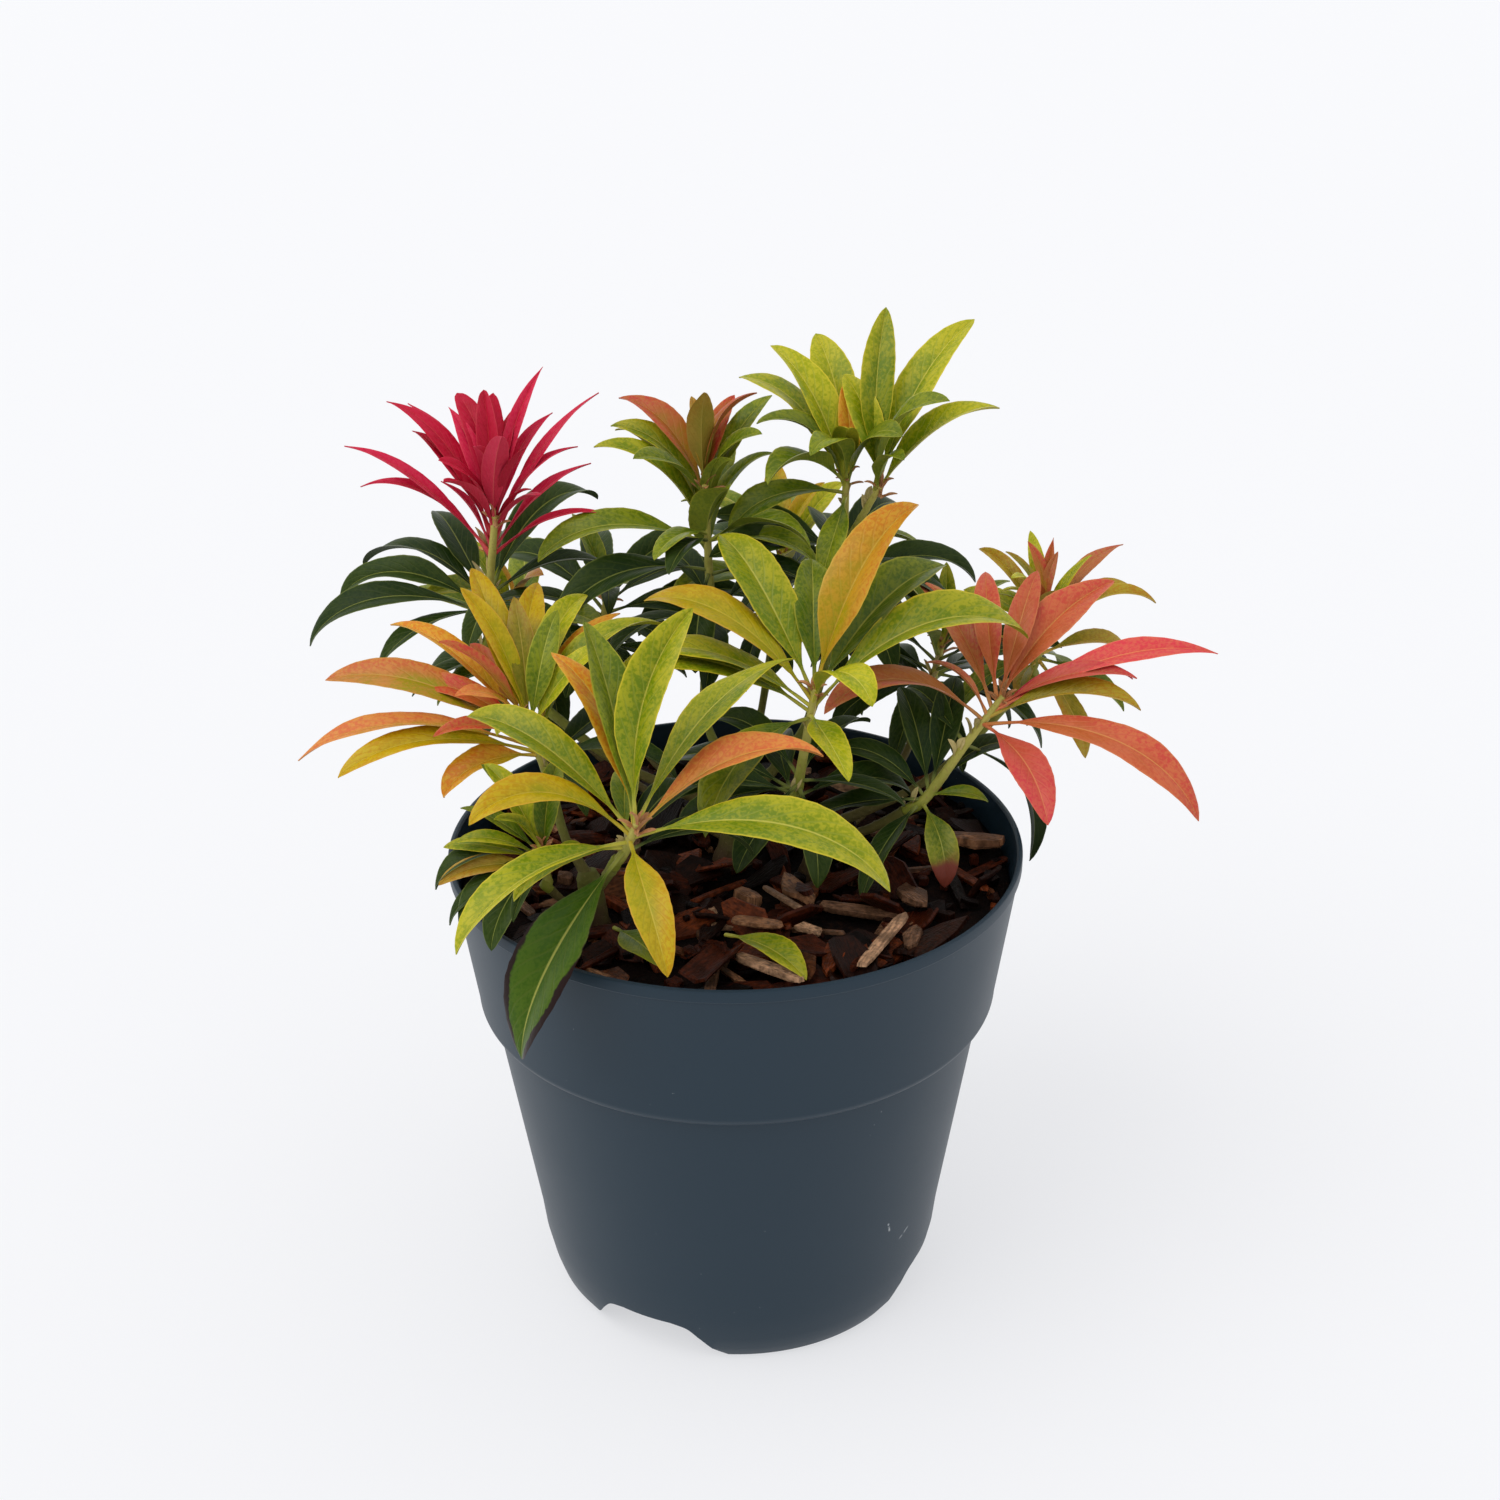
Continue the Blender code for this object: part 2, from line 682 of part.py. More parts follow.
def make_shoot(name, taken):
    """One twig, or a forked one, with its leaves fused on. Returns what it takes up."""
    points, ratio, whorls = SHOOTS[name]
    twigs = [(shoot_path(name, points), whorls)]
    foot_radius = BOUGHS[name.replace("foliage", "bough")][5]
    if name == SIDE_TWIG[0]:
        twigs.append((bend(SIDE_TWIG[1], 4), [SIDE_WHORL]))
    parts, own, left_out = [], [], 0
    for number, (path, rings) in enumerate(twigs):
        last = len(path) - 1
        thick, thin = (foot_radius, 1.3) if number == 0 else (1.7, 1.2)
        radii = [thick + (thin - thick) * i / last for i in range(last + 1)]
        twig = helper(tube(f"{name}_twig_{number}", path, radii))
        own.append(tree_of_object(twig))
        parts.append(twig)
        for below, rows in rings:
            for rank, row in enumerate(rows):
                root = spot_below_tip(path, below + LEAF_SPACING * (len(rows) - 1 - rank))
                shape = clear_leaf(root, row, ratio, taken)
                if shape is None:
                    left_out += 1
                    continue
                mesh = bpy.data.meshes.new(f"{name}_leaf")
                mesh.from_pydata(*shape[:1], [], shape[1])
                parts.append(helper(bpy.data.objects.new(f"{name}_leaf_{len(parts)}", mesh)))
                own.append(tree_of(*shape))
    group = combine(parts[0], parts[1:], "UNION", solver="MANIFOLD")
    made = baked(parts[0], name)
    discard(*parts)
    bpy.data.collections.remove(group)
    link_part(made, name if name in COLOURS else "foliage")
    print(f"{name}: {len(own) - len(twigs)} leaves, {left_out} left out")
    return own


clear_scene()
PLANT = bpy.data.collections.new("pieris_shrub")
HELPERS = bpy.data.collections.new("cutters")
bpy.context.scene.collection.children.link(PLANT)
bpy.context.scene.collection.children.link(HELPERS)
HELPERS.hide_render = True
make_pot()
make_soil()
make_stems()
make_boughs()
occupied = [tree_of_object(obj) for obj in PLANT.objects]
for shoot in SHOOTS:
    occupied += make_shoot(shoot, occupied)
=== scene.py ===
import json
import math
import random

import bmesh
import bpy
import numpy as np
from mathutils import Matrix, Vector, noise
from mathutils.kdtree import KDTree


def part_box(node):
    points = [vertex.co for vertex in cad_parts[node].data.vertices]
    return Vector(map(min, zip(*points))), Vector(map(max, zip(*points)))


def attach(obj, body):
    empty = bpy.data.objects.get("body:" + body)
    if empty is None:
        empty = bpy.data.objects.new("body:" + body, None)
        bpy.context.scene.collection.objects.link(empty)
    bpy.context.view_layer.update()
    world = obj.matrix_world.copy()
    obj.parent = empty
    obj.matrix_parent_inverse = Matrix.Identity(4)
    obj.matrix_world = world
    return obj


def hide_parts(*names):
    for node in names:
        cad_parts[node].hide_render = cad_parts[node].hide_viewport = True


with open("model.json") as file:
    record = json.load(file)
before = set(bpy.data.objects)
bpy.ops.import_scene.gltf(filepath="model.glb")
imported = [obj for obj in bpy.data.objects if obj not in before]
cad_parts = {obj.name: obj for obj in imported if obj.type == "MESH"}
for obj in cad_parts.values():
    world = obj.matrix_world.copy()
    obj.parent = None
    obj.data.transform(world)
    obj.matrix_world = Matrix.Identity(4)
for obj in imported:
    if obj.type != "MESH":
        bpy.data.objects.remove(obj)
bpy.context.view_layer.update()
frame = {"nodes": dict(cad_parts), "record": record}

# The pot is one thin moulding of matte slate blue plastic. Its deep collar lets pots nest in
# a stack, and the three arched recesses at its foot drain it. Its walls are turned round its
# axis, and the recesses and their holes are cut out afterwards. Outlines are millimetres.
MM = 0.001
RIM_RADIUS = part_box("pot")[1].x / MM
POT_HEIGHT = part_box("pot")[1].z / MM
WALL = 1.8
FLOOR = 2.5
POT_SIDES = 160
LIP = 0.6
BEAD = 4.2
COLLAR_FOOT = (87.4, 114.0)
COLLAR_SLOPE = (RIM_RADIUS - COLLAR_FOOT[0]) / (POT_HEIGHT - COLLAR_FOOT[1])
FILLET_CENTRE = (83.2, 113.2)
FILLET_RADIUS = 4.2
BODY = ((82.8, 108.2), (70.2, 30.0), (69.0, 20.0), (66.8, 10.0), (65.0, 4.5))
DRAIN_HEADINGS = (242.0, 342.0, 117.0)
DRAIN_HEIGHT = 15.0
DRAIN_SIDE = ((25.5, 0.0), (21.5, 5.0), (18.0, 10.0), (14.5, 13.6), (9.0, DRAIN_HEIGHT))
DRAIN_INNER_RADIUS = 46.0
DRAIN_HOLE_RADIUS = 4.5
DRAIN_HOLE_REACH = 54.0
SLATE = (0.012, 0.028, 0.044)
SCUFF = (0.42, 0.45, 0.47)
SCRATCHES = (((0.0501, -0.0527, 0.0452), 0.13, 0.0024), ((0.0557, -0.0445, 0.0372), -1.05, 0.0017))


class Link:
    """An output of a material's nodes. Python's operators on it add Math nodes."""

    def __init__(self, tree, socket=None):
        self.tree = tree
        self.socket = socket

    def node(self, kind, settings=None, values=None, output=0):
        """Adds a node of that kind: its settings, and values or links for its sockets."""
        made = self.tree.nodes.new("ShaderNode" + kind)
        for name, value in (settings or {}).items():
            setattr(made, name, value)
        for name, value in (values or {}).items():
            if isinstance(value, Link):
                self.tree.links.new(value.socket, made.inputs[name])
            else:
                made.inputs[name].default_value = value
        return Link(self.tree, made.outputs[output])

    def other(self, output):
        """Another output of the same node."""
        return Link(self.tree, self.socket.node.outputs[output])

    def math(self, operation, *values):
        return self.node("Math", {"operation": operation}, dict(enumerate(values)))

    def __add__(self, value):
        return self.math("ADD", self, value)

    __radd__ = __add__

    def __sub__(self, value):
        return self.math("SUBTRACT", self, value)

    def __rsub__(self, value):
        return self.math("SUBTRACT", value, self)

    def __mul__(self, value):
        return self.math("MULTIPLY", self, value)

    __rmul__ = __mul__

    def __abs__(self):
        return self.math("ABSOLUTE", self)

    def step(self, low, high):
        """0 at low and 1 at high, with an eased way between them."""
        settings = {"interpolation_type": "SMOOTHSTEP"}
        values = {"Value": self, "From Min": low, "From Max": high}
        return self.node("MapRange", settings, values)

    def mix(self, first, second):
        """The first colour where this is 0, and the second where it is 1."""
        values = {0: self}
        for index, colour in ((6, first), (7, second)):
            values[index] = colour if isinstance(colour, Link) else (*colour, 1.0)
        return self.node("Mix", {"data_type": "RGBA"}, values, output=2)

    def brighter(self, factor):
        """This colour times a number or a value."""
        return self.node("VectorMath", {"operation": "SCALE"}, {0: self, 3: factor})

    def grain(self, position, scale, detail=3.0):
        """Noise of that many waves to the metre."""
        return self.node("TexNoise", None, {"Vector": position, "Scale": scale, "Detail": detail})

    def bump(self, strength, depth):
        """A normal from this height, which is 1 at that depth in metres."""
        return self.node("Bump", None, {"Height": self, "Strength": strength, "Distance": depth})


def new_finish(name):
    """A new material, its shader and a Link to start its nodes from."""
    finish = bpy.data.materials.new(name)
    finish.use_nodes = True
    shader = finish.node_tree.nodes["Principled BSDF"]
    return finish, shader, Link(finish.node_tree)


def wire(shader, **values):
    """Sets the shader's sockets, named with underscores, to numbers or to links."""
    for name, value in values.items():
        socket = shader.inputs[name.replace("_", " ")]
        if isinstance(value, Link):
            shader.id_data.links.new(value.socket, socket)
        else:
            socket.default_value = value


def times(colour, factor):
    return tuple(c * factor for c in colour)


def put(name, data):
    """A new object of that data, in the scene."""
    made = bpy.data.objects.new(name, data)
    bpy.context.scene.collection.objects.link(made)
    return made


def walls(sides, rows=1):
    """Faces between rings of points that follow one another."""
    faces = []
    for row in range(rows):
        for i in range(sides):
            a, b = row * sides + i, row * sides + (i + 1) % sides
            faces.append((a, b, b + sides, a + sides))
    return faces


def pot_plastic():
    finish, shader, start = new_finish("slate_plastic")
    place = start.node("TexCoord", output=3)
    cloud = start.grain(place, 22.0)
    grit = start.grain(place, 2600.0, 2.0)
    worn = start.grain(place, 900.0, 3.0).step(0.35, 0.55)
    marks = start.grain(place, 700.0, 1.0).step(0.81, 0.84) * 0.3
    for spot, lean, reach in SCRATCHES:
        away = start.node("VectorMath", {"operation": "SUBTRACT"}, {0: place, 1: spot})
        away = start.node("SeparateXYZ", None, {0: away})
        up = away.other(2)
        thin = 1 - abs(away + up * lean).step(0.00015, 0.0004)
        scratch = thin * (1 - abs(up).step(reach * 0.7, reach)) * worn
        scratch = scratch * (1 - away.other(1).step(0.01, 0.02))
        marks = start.math("MAXIMUM", marks, scratch * 0.8)
    wire(
        shader,
        Specular_IOR_Level=0.28,
        Base_Color=marks.mix((cloud * 0.22 + 0.9).mix(times(SLATE, 0.86), times(SLATE, 1.12)), SCUFF),
        Roughness=cloud * 0.10 + grit * 0.06 + 0.34,
        Normal=(grit * 0.6 + cloud * 2.0).bump(0.25, 0.0002),
    )
    return finish


def bend(points, count):
    """Evenly spread points of the smooth curve through the control points."""
    points = [Vector(point) for point in points]
    found = []
    for step in range(count + 1):
        along = step / count * (len(points) - 1)
        first = min(int(along), len(points) - 2)
        share = along - first
        before = points[max(first - 1, 0)]
        start, end = points[first], points[first + 1]
        after = points[min(first + 2, len(points) - 1)]
        found.append(
            0.5
            * (
                2 * start
                + (end - before) * share
                + (2 * before - 5 * start + 4 * end - after) * share**2
                + (3 * start - before - 3 * end + after) * share**3
            )
        )
    return found


def arc(centre, radius, start, end, count):
    """Points of (radius, height) along an arc, its angles in degrees."""
    turns = [math.radians(start + (end - start) * i / count) for i in range(count + 1)]
    return [
        (centre[0] + radius * math.cos(turn), centre[1] + radius * math.sin(turn))
        for turn in turns
    ]


def wall_outline(inset):
    """The side of the pot below its rim, down to its foot, taken in by the inset."""
    collar = [(RIM_RADIUS - LIP * COLLAR_SLOPE, POT_HEIGHT - LIP), COLLAR_FOOT]
    collar, body = ([(r - inset, height) for r, height in part] for part in (collar, BODY))
    fillet = arc((FILLET_CENTRE[0] - inset, FILLET_CENTRE[1]), FILLET_RADIUS, -5, -85, 8)
    return collar + fillet + body


def turned(name, outline):
    """A closed round solid: the outline of (radius, height) runs from its top down."""
    mesh = bpy.data.meshes.new(name)
    points = [(radius * MM, 0.0, height * MM) for radius, height in outline]
    mesh.from_pydata(points, [(i, i + 1) for i in range(len(points) - 1)], [])
    made = bpy.data.objects.new(name, mesh)
    screw = made.modifiers.new("turn", "SCREW")
    screw.steps = POT_SIDES
    screw.render_steps = POT_SIDES
    screw.use_merge_vertices = True
    screw.merge_threshold = 1e-6
    return made


def drain_cutters(wider):
    """The arched recesses at the pot's foot, each side moved out by wider."""
    side = [(across + wider, height + wider, 0.0) for across, height in DRAIN_SIDE]
    right = [(side[0][0] + 1.0, -2.0)] + [(spot.x, spot.y) for spot in bend(side, 16)]
    arch = right + [(-across, height) for across, height in reversed(right)]
    count = len(arch)
    faces = [tuple(reversed(range(count))), tuple(range(count, 2 * count)), *walls(count)]
    points = [
        (reach * MM, across * MM, height * MM)
        for reach in (DRAIN_INNER_RADIUS - wider, RIM_RADIUS)
        for across, height in arch
    ]
    cutters = []
    for degrees in DRAIN_HEADINGS:
        mesh = bpy.data.meshes.new("recess")
        mesh.from_pydata(points, [], faces)
        cutter = bpy.data.objects.new("recess", mesh)
        cutter.rotation_euler.z = math.radians(degrees)
        cutters.append(cutter)
    return cutters


def drain_holes():
    cutters = []
    for degrees in DRAIN_HEADINGS:
        heading = math.radians(degrees)
        mesh = bpy.data.meshes.new("hole")
        bm = bmesh.new()
        radius = DRAIN_HOLE_RADIUS * MM
        bmesh.ops.create_cone(
            bm, cap_ends=True, segments=32, radius1=radius, radius2=radius, depth=8 * MM
        )
        bm.to_mesh(mesh)
        bm.free()
        cutter = bpy.data.objects.new("hole", mesh)
        reach = DRAIN_HOLE_REACH * MM
        cutter.location = (reach * math.cos(heading), reach * math.sin(heading), DRAIN_HEIGHT * MM)
        cutters.append(cutter)
    return cutters


def cut(blank, cutters, name):
    """The blank less its cutters, as a plain mesh object with that name."""
    group = bpy.data.collections.new("cutters")
    bpy.context.scene.collection.children.link(group)
    for piece in [blank, *cutters]:
        group.objects.link(piece)
    group.objects.unlink(blank)
    bpy.context.scene.collection.objects.link(blank)
    boolean = blank.modifiers.new("cut", "BOOLEAN")
    boolean.operand_type = "COLLECTION"
    boolean.collection = group
    boolean.solver = "EXACT"
    bpy.context.view_layer.update()
    graph = bpy.context.evaluated_depsgraph_get()
    mesh = bpy.data.meshes.new_from_object(blank.evaluated_get(graph), depsgraph=graph)
    for piece in [blank, *cutters]:
        bpy.data.objects.remove(piece)
    bpy.data.collections.remove(group)
    mesh.name = name
    return put(name, mesh)


side = wall_outline(0.0)
lip = [(RIM_RADIUS - LIP, POT_HEIGHT), (RIM_RADIUS - 0.15, POT_HEIGHT - 0.2)]
lip += [(RIM_RADIUS, POT_HEIGHT - 0.7), (RIM_RADIUS - 0.05, POT_HEIGHT - BEAD + 0.3)]
lip += [(RIM_RADIUS - 0.25, POT_HEIGHT - BEAD), (RIM_RADIUS - 0.8, POT_HEIGHT - BEAD - 0.1)]
blank = turned("blank", [(0.0, POT_HEIGHT)] + lip + side[1:] + [(62.0, 0.0), (0.0, 0.0)])
inner = wall_outline(WALL)
mouth = [(RIM_RADIUS - LIP, POT_HEIGHT + 1.0), (RIM_RADIUS - WALL + 0.45, POT_HEIGHT)]
hollow_outline = [(0.0, POT_HEIGHT + 1.0)] + mouth + inner + [(59.2, FLOOR), (0.0, FLOOR)]
hollow = cut(turned("hollow", hollow_outline), drain_cutters(WALL), "hollow")
pot = cut(blank, drain_cutters(0.0) + drain_holes() + [hollow], "moulded_pot")
pot.data.materials.clear()
pot.data.materials.append(pot_plastic())
pot.data.shade_smooth()
pot.data.set_sharp_from_angle(angle=math.radians(32))
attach(pot, "root")
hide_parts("pot")

# The root ball is damp dark compost that the roots hold in the pot's shape; its near-black colour is
# partly painted shade for the gaps between the chips. Only its top shows, between the bark, so its
# crumbs are raised there and its side is plain.
SOIL_LEVEL = 152.0
ROOT_BALL_GAP = 0.3
ROOT_BALL_FOOT = 17.4
BED_RINGS = 34
BED_SIDES = 120


def bed_height(x, y):
    """How high the compost stands at a place, in millimetres."""
    lump = noise.noise(Vector((x / 15, y / 15, 3.1)))
    crumb = noise.noise(Vector((x / 4, y / 4, 8.7)))
    return SOIL_LEVEL + 0.8 + 1.3 * lump + 0.7 * crumb


def solid(name, points, faces):
    """A mesh object from points in millimetres."""
    mesh = bpy.data.meshes.new(name)
    mesh.from_pydata([tuple(c * MM for c in point) for point in points], [], faces)
    mesh.shade_smooth()
    return put(name, mesh)


def root_ball():
    wall = [p for p in wall_outline(WALL + ROOT_BALL_GAP) if ROOT_BALL_FOOT < p[1] < SOIL_LEVEL - 4]
    top_radius = RIM_RADIUS - WALL - ROOT_BALL_GAP - COLLAR_SLOPE * (POT_HEIGHT - SOIL_LEVEL + 3)
    rings = [(top_radius * (i + 1) / BED_RINGS, None) for i in range(BED_RINGS)]
    rings += wall + [(65.5, ROOT_BALL_FOOT)]
    points = [(0.0, 0.0, bed_height(0, 0))]
    for radius, height in rings:
        for step in range(BED_SIDES):
            turn = 2 * math.pi * step / BED_SIDES
            x, y = radius * math.cos(turn), radius * math.sin(turn)
            points.append((x, y, bed_height(x, y) if height is None else height))
    faces = [(0, 1 + i, 1 + (i + 1) % BED_SIDES) for i in range(BED_SIDES)]
    for ring in range(len(rings) - 1):
        inward, outward = 1 + ring * BED_SIDES, 1 + (ring + 1) * BED_SIDES
        for i in range(BED_SIDES):
            j = (i + 1) % BED_SIDES
            faces.append((inward + i, outward + i, outward + j, inward + j))
    last = 1 + (len(rings) - 1) * BED_SIDES
    faces.append(tuple(last + BED_SIDES - 1 - i for i in range(BED_SIDES)))
    return solid("root_ball", points, faces)


def compost():
    finish, shader, start = new_finish("compost_with_painted_gap_shade")
    place = start.node("TexCoord", output=3)
    crumbs = start.grain(place, 420.0, 5.0)
    lumps = start.grain(place, 90.0)
    # Nearly black: partly the compost's own dark colour, partly painted shade for the gaps between the
    # chips.
    brown = lumps.step(0.35, 0.7).mix((0.002, 0.001, 0.001), (0.008, 0.003, 0.002))
    wire(
        shader,
        Base_Color=(crumbs.step(0.5, 0.75) * 0.5).mix(brown, (0.030, 0.012, 0.006)),
        Roughness=crumbs * 0.2 + 0.7,
        Normal=crumbs.bump(0.9, 0.0015),
        Specular_IOR_Level=0.1,
    )
    return finish


ball = root_ball()
ball.data.materials.append(compost())
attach(ball, "root")
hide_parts("soil")

# Bark mulch covers the root ball: broken flakes of reddish brown bark, lumps, and paler
# splinters of the wood under it. The pieces are thrown on by a seeded rule, clear of the
# stems, and each has its own plain colour and its own place on the bake's map.
STEMS = {
    "trunk": ((0, 8), (3, 13, 180), 6.6, 4.9),
    "stem_left": ((-45, -35), (-47, -34, 172), 4.8, 3.9),
    "stem_right": ((26, -3), (30, -2, 174), 4.9, 3.9),
}
CHIP_COUNTS = {"lump": 190, "flake": 160, "splinter": 80}
CHIP_REACH = 91.2
CHIP_COLOURS = {
    "bark_black": (0.009, 0.003, 0.002),
    "bark_umber": (0.026, 0.006, 0.002),
    "bark_red": (0.075, 0.014, 0.004),
    "bark_russet": (0.21, 0.044, 0.011),
    "bark_brown": (0.16, 0.052, 0.018),
    "bark_grey": (0.22, 0.11, 0.06),
    "wood_tan": (0.43, 0.205, 0.1),
    "wood_pale": (0.66, 0.38, 0.22),
}
CHIP_ODDS = {
    "flake": (18, 28, 30, 16, 4, 3, 1, 0),
    "lump": (26, 26, 20, 10, 5, 7, 4, 2),
    "splinter": (6, 12, 16, 16, 16, 14, 14, 6),
}
CHIP_SIZES = {
    "flake": ((8, 24), (6, 14), (0.9, 2.2)),
    "lump": ((2.5, 7), (2, 5), (1.5, 4)),
    "splinter": ((9, 34), (1.8, 4.6), (1.2, 2.6)),
}
# The chips that stand out at the front: kind, place of each end, width and colour.
PLACED_CHIPS = [
    ("splinter", (0, -69), (21, -84), 5.0, "wood_pale"),
    ("splinter", (9, -26), (22, -42), 2.5, "wood_pale"),
    ("splinter", (-1, -47), (15, -51), 6.0, "wood_tan"),
    ("splinter", (38, -77), (54, -44), 4.5, "wood_pale"),
    ("flake", (19, -50), (27, -55), 5.0, "wood_pale"),
    ("flake", (15, -15), (24, -35), 9.0, "wood_tan"),
    ("flake", (27, -80), (34, -58), 9.0, "bark_russet"),
    ("flake", (-13, -84), (-1, -63), 14.0, "bark_red"),
    ("flake", (11, -61), (29, -67), 13.0, "bark_red"),
    ("flake", (52, -67), (71, -46), 14.0, "bark_umber"),
    ("lump", (70, 8), (90, 5), 9.0, "wood_tan"),
    ("lump", (53, -25), (61, -36), 10.0, "bark_grey"),
    ("lump", (1, -28), (8, -35), 7.0, "wood_tan"),
    ("lump", (53, -66), (57, -52), 6.0, "bark_grey"),
]
PLACED_LEVEL = 160.0
PLACED_TILT = -0.15
SPLINTER_LIFT = 1.2
STEM_CLEARANCE = 7


def chip_shape(kind, size, draw):
    """Points of one chip about its own middle, as three rings and a middle point for its
    top, and a ring and a middle point for its underside."""
    length, width, thick = size
    sides = {"flake": 8, "lump": 9, "splinter": 12}[kind]
    curl = draw.uniform(-0.2, 0.35) if kind == "flake" else 0.0
    bluntness = 0.45 if kind == "splinter" else 1.0
    rough = 0.05 if kind == "splinter" else 0.25
    swell = [1 + draw.uniform(-rough, rough) for _ in range(sides)]
    skew = [draw.uniform(-0.25, 0.25) * (kind != "splinter") for _ in range(sides)]
    rows = [(0.9, -0.5), (1.0, -0.2), (0.96, 0.42), (0.6, 0.5)]
    points = []
    for share, level in rows:
        for i in range(sides):
            turn = 2 * math.pi * (i + skew[i]) / sides
            x = math.copysign(abs(math.cos(turn)) ** bluntness, math.cos(turn)) * share * swell[i]
            y = math.copysign(abs(math.sin(turn)) ** bluntness, math.sin(turn)) * share * swell[i]
            lift = curl * width * y * y + draw.uniform(-0.08, 0.08) * thick
            points.append((x * length / 2, y * width / 2, level * thick + lift))
    points.append((0.0, 0.0, thick * (0.5 + draw.uniform(-0.1, 0.2))))
    points.append((0.0, 0.0, -thick * 0.5))
    return points, sides


def chip_faces(sides):
    """Faces of a chip, and which of them are on its upper side."""
    faces = walls(sides, 3)
    upper = [index >= sides for index in range(len(faces))]
    top, under = 4 * sides, 4 * sides + 1
    for i in range(sides):
        j = (i + 1) % sides
        faces.append((3 * sides + i, 3 * sides + j, top))
        upper.append(True)
        faces.append((j, i, under))
        upper.append(False)
    return faces, upper


def chip_place(chip, draw):
    """A spot on the bed that keeps the chip off the stems and the wall."""
    while True:
        heading = draw.uniform(0, 2 * math.pi)
        radius = CHIP_REACH * math.sqrt(draw.random())
        x, y = radius * math.cos(heading), radius * math.sin(heading)
        spots = [(x + dx, y + dy) for dx, dy, _ in chip]
        inside = max(math.hypot(*spot) for spot in spots) < CHIP_REACH
        feet = [foot for foot, *_ in STEMS.values()]
        if inside and all(math.dist(spot, foot) > STEM_CLEARANCE for foot in feet for spot in spots):
            return x, y


def turned_by(point, tilt, roll, heading):
    """A point tipped about X and Y and then turned about Z, in radians."""
    x, y, z = point
    y, z = y * math.cos(tilt) - z * math.sin(tilt), y * math.sin(tilt) + z * math.cos(tilt)
    x, z = x * math.cos(roll) + z * math.sin(roll), z * math.cos(roll) - x * math.sin(roll)
    return (
        x * math.cos(heading) - y * math.sin(heading),
        x * math.sin(heading) + y * math.cos(heading),
        z,
    )


def lay_chips(kind, seed):
    """All the chips of a kind as (points, faces, colour number of each face, map corners)."""
    draw = random.Random(seed)
    points, faces, colours, corners = [], [], [], []
    placed = [row for row in PLACED_CHIPS if row[0] == kind]
    count = CHIP_COUNTS[kind] + len(placed)
    columns = math.ceil(math.sqrt(count))
    for index in range(count):
        length, width, thick = (draw.uniform(*ends) for ends in CHIP_SIZES[kind])
        lean = 0.7 if kind == "flake" else 0.3
        tilt, roll = draw.gauss(0, lean) * 0.7, draw.gauss(0, lean) * 0.5
        heading = draw.uniform(0, 2 * math.pi)
        colour = draw.choices(range(len(CHIP_COLOURS)), CHIP_ODDS[kind])[0]
        if index < len(placed):
            _, start, end, width, hue = placed[index]
            length, tilt, roll = math.dist(start, end), PLACED_TILT, 0.0
            heading = math.atan2(end[1] - start[1], end[0] - start[0])
            colour = list(CHIP_COLOURS).index(hue)
        shape, sides = chip_shape(kind, (length, width, thick), draw)
        chip = [turned_by(point, tilt, roll, heading) for point in shape]
        reach = max(math.hypot(x, y) for x, y, _ in shape)
        if index < len(placed):
            x, y = (start[0] + end[0]) / 2, (start[1] + end[1]) / 2
            level = PLACED_LEVEL + (SPLINTER_LIFT if kind == "splinter" else 0.0)
        else:
            x, y = chip_place(chip, draw)
            lift = abs(math.sin(roll)) * reach * 0.45 + abs(math.sin(tilt)) * reach * 0.3
            level = bed_height(x, y) + thick * 0.3 + lift + draw.uniform(0, 2.5)
        first = len(points)
        points += [(x + dx, y + dy, level + dz) for dx, dy, dz in chip]
        cell = Vector((index % columns, index // columns))
        for face, top in zip(*chip_faces(sides)):
            faces.append(tuple(first + corner for corner in face))
            colours.append(colour)
            for corner in face:
                flat = Vector(shape[corner][:2]) / (2 * reach)
                middle = Vector((0.25 if top else 0.75, 0.5))
                spot = middle + Vector((flat.y * 0.46, flat.x * 0.92))
                corners.append((cell + spot) / columns)
    return points, faces, colours, corners


def give_map(mesh, name, corners):
    """A map of that name, from a place for each corner of each face."""
    layer = mesh.uv_layers.new(name=name)
    layer.data.foreach_set("uv", np.array(corners, np.float32).ravel())


def chip_finish(name, colour):
    finish, shader, start = new_finish(name)
    place = start.node("TexCoord", output=3)
    grain = start.node("UVMap", {"uv_map": "OFBake"})
    grain = start.node("VectorMath", {"operation": "MULTIPLY"}, {0: grain, 1: (900.0, 90.0, 0.0)})
    fibre = start.grain(grain, 1.0, 3.0) * 0.6 + start.grain(place, 700.0, 4.0) * 0.4
    stain = start.grain(place, 120.0, 3.0).step(0.45, 0.62)
    skin = fibre.step(0.3, 0.72).mix(times(colour, 0.2), times(colour, 1.25))
    wire(
        shader,
        Base_Color=(stain * 0.7).mix(skin, times(colour, 0.22)),
        Roughness=fibre * 0.35 + 0.25,
        Normal=fibre.bump(1.0, 0.0008),
        Specular_IOR_Level=0.12,
    )
    return finish


chip_finishes = [chip_finish(name, colour) for name, colour in CHIP_COLOURS.items()]
for seed, kind in enumerate(CHIP_COUNTS):
    points, faces, colours, corners = lay_chips(kind, seed + 5)
    chips = solid("mulch_" + kind + "s", points, faces)
    for finish in chip_finishes:
        chips.data.materials.append(finish)
    chips.data.polygons.foreach_set("material_index", colours)
    chips.data.set_sharp_from_angle(angle=math.radians(25))
    give_map(chips.data, "OFBake", corners)
    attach(chips, "root")

# The stems are the plant's woody feet: thin grey-brown bark with fine ridges, which turns
# green towards the fork. Each is swept up its path from its root flare in the mulch, as
# the solid's is, with the bark's relief raised on it.
STEM_STEPS = 40
STEM_SIDES = 28
STEM_FLARE = ((0.0, 1.45), (0.1, 1.2), (0.25, 1.05), (0.6, 0.98), (0.9, 0.95), (1.0, 0.72))


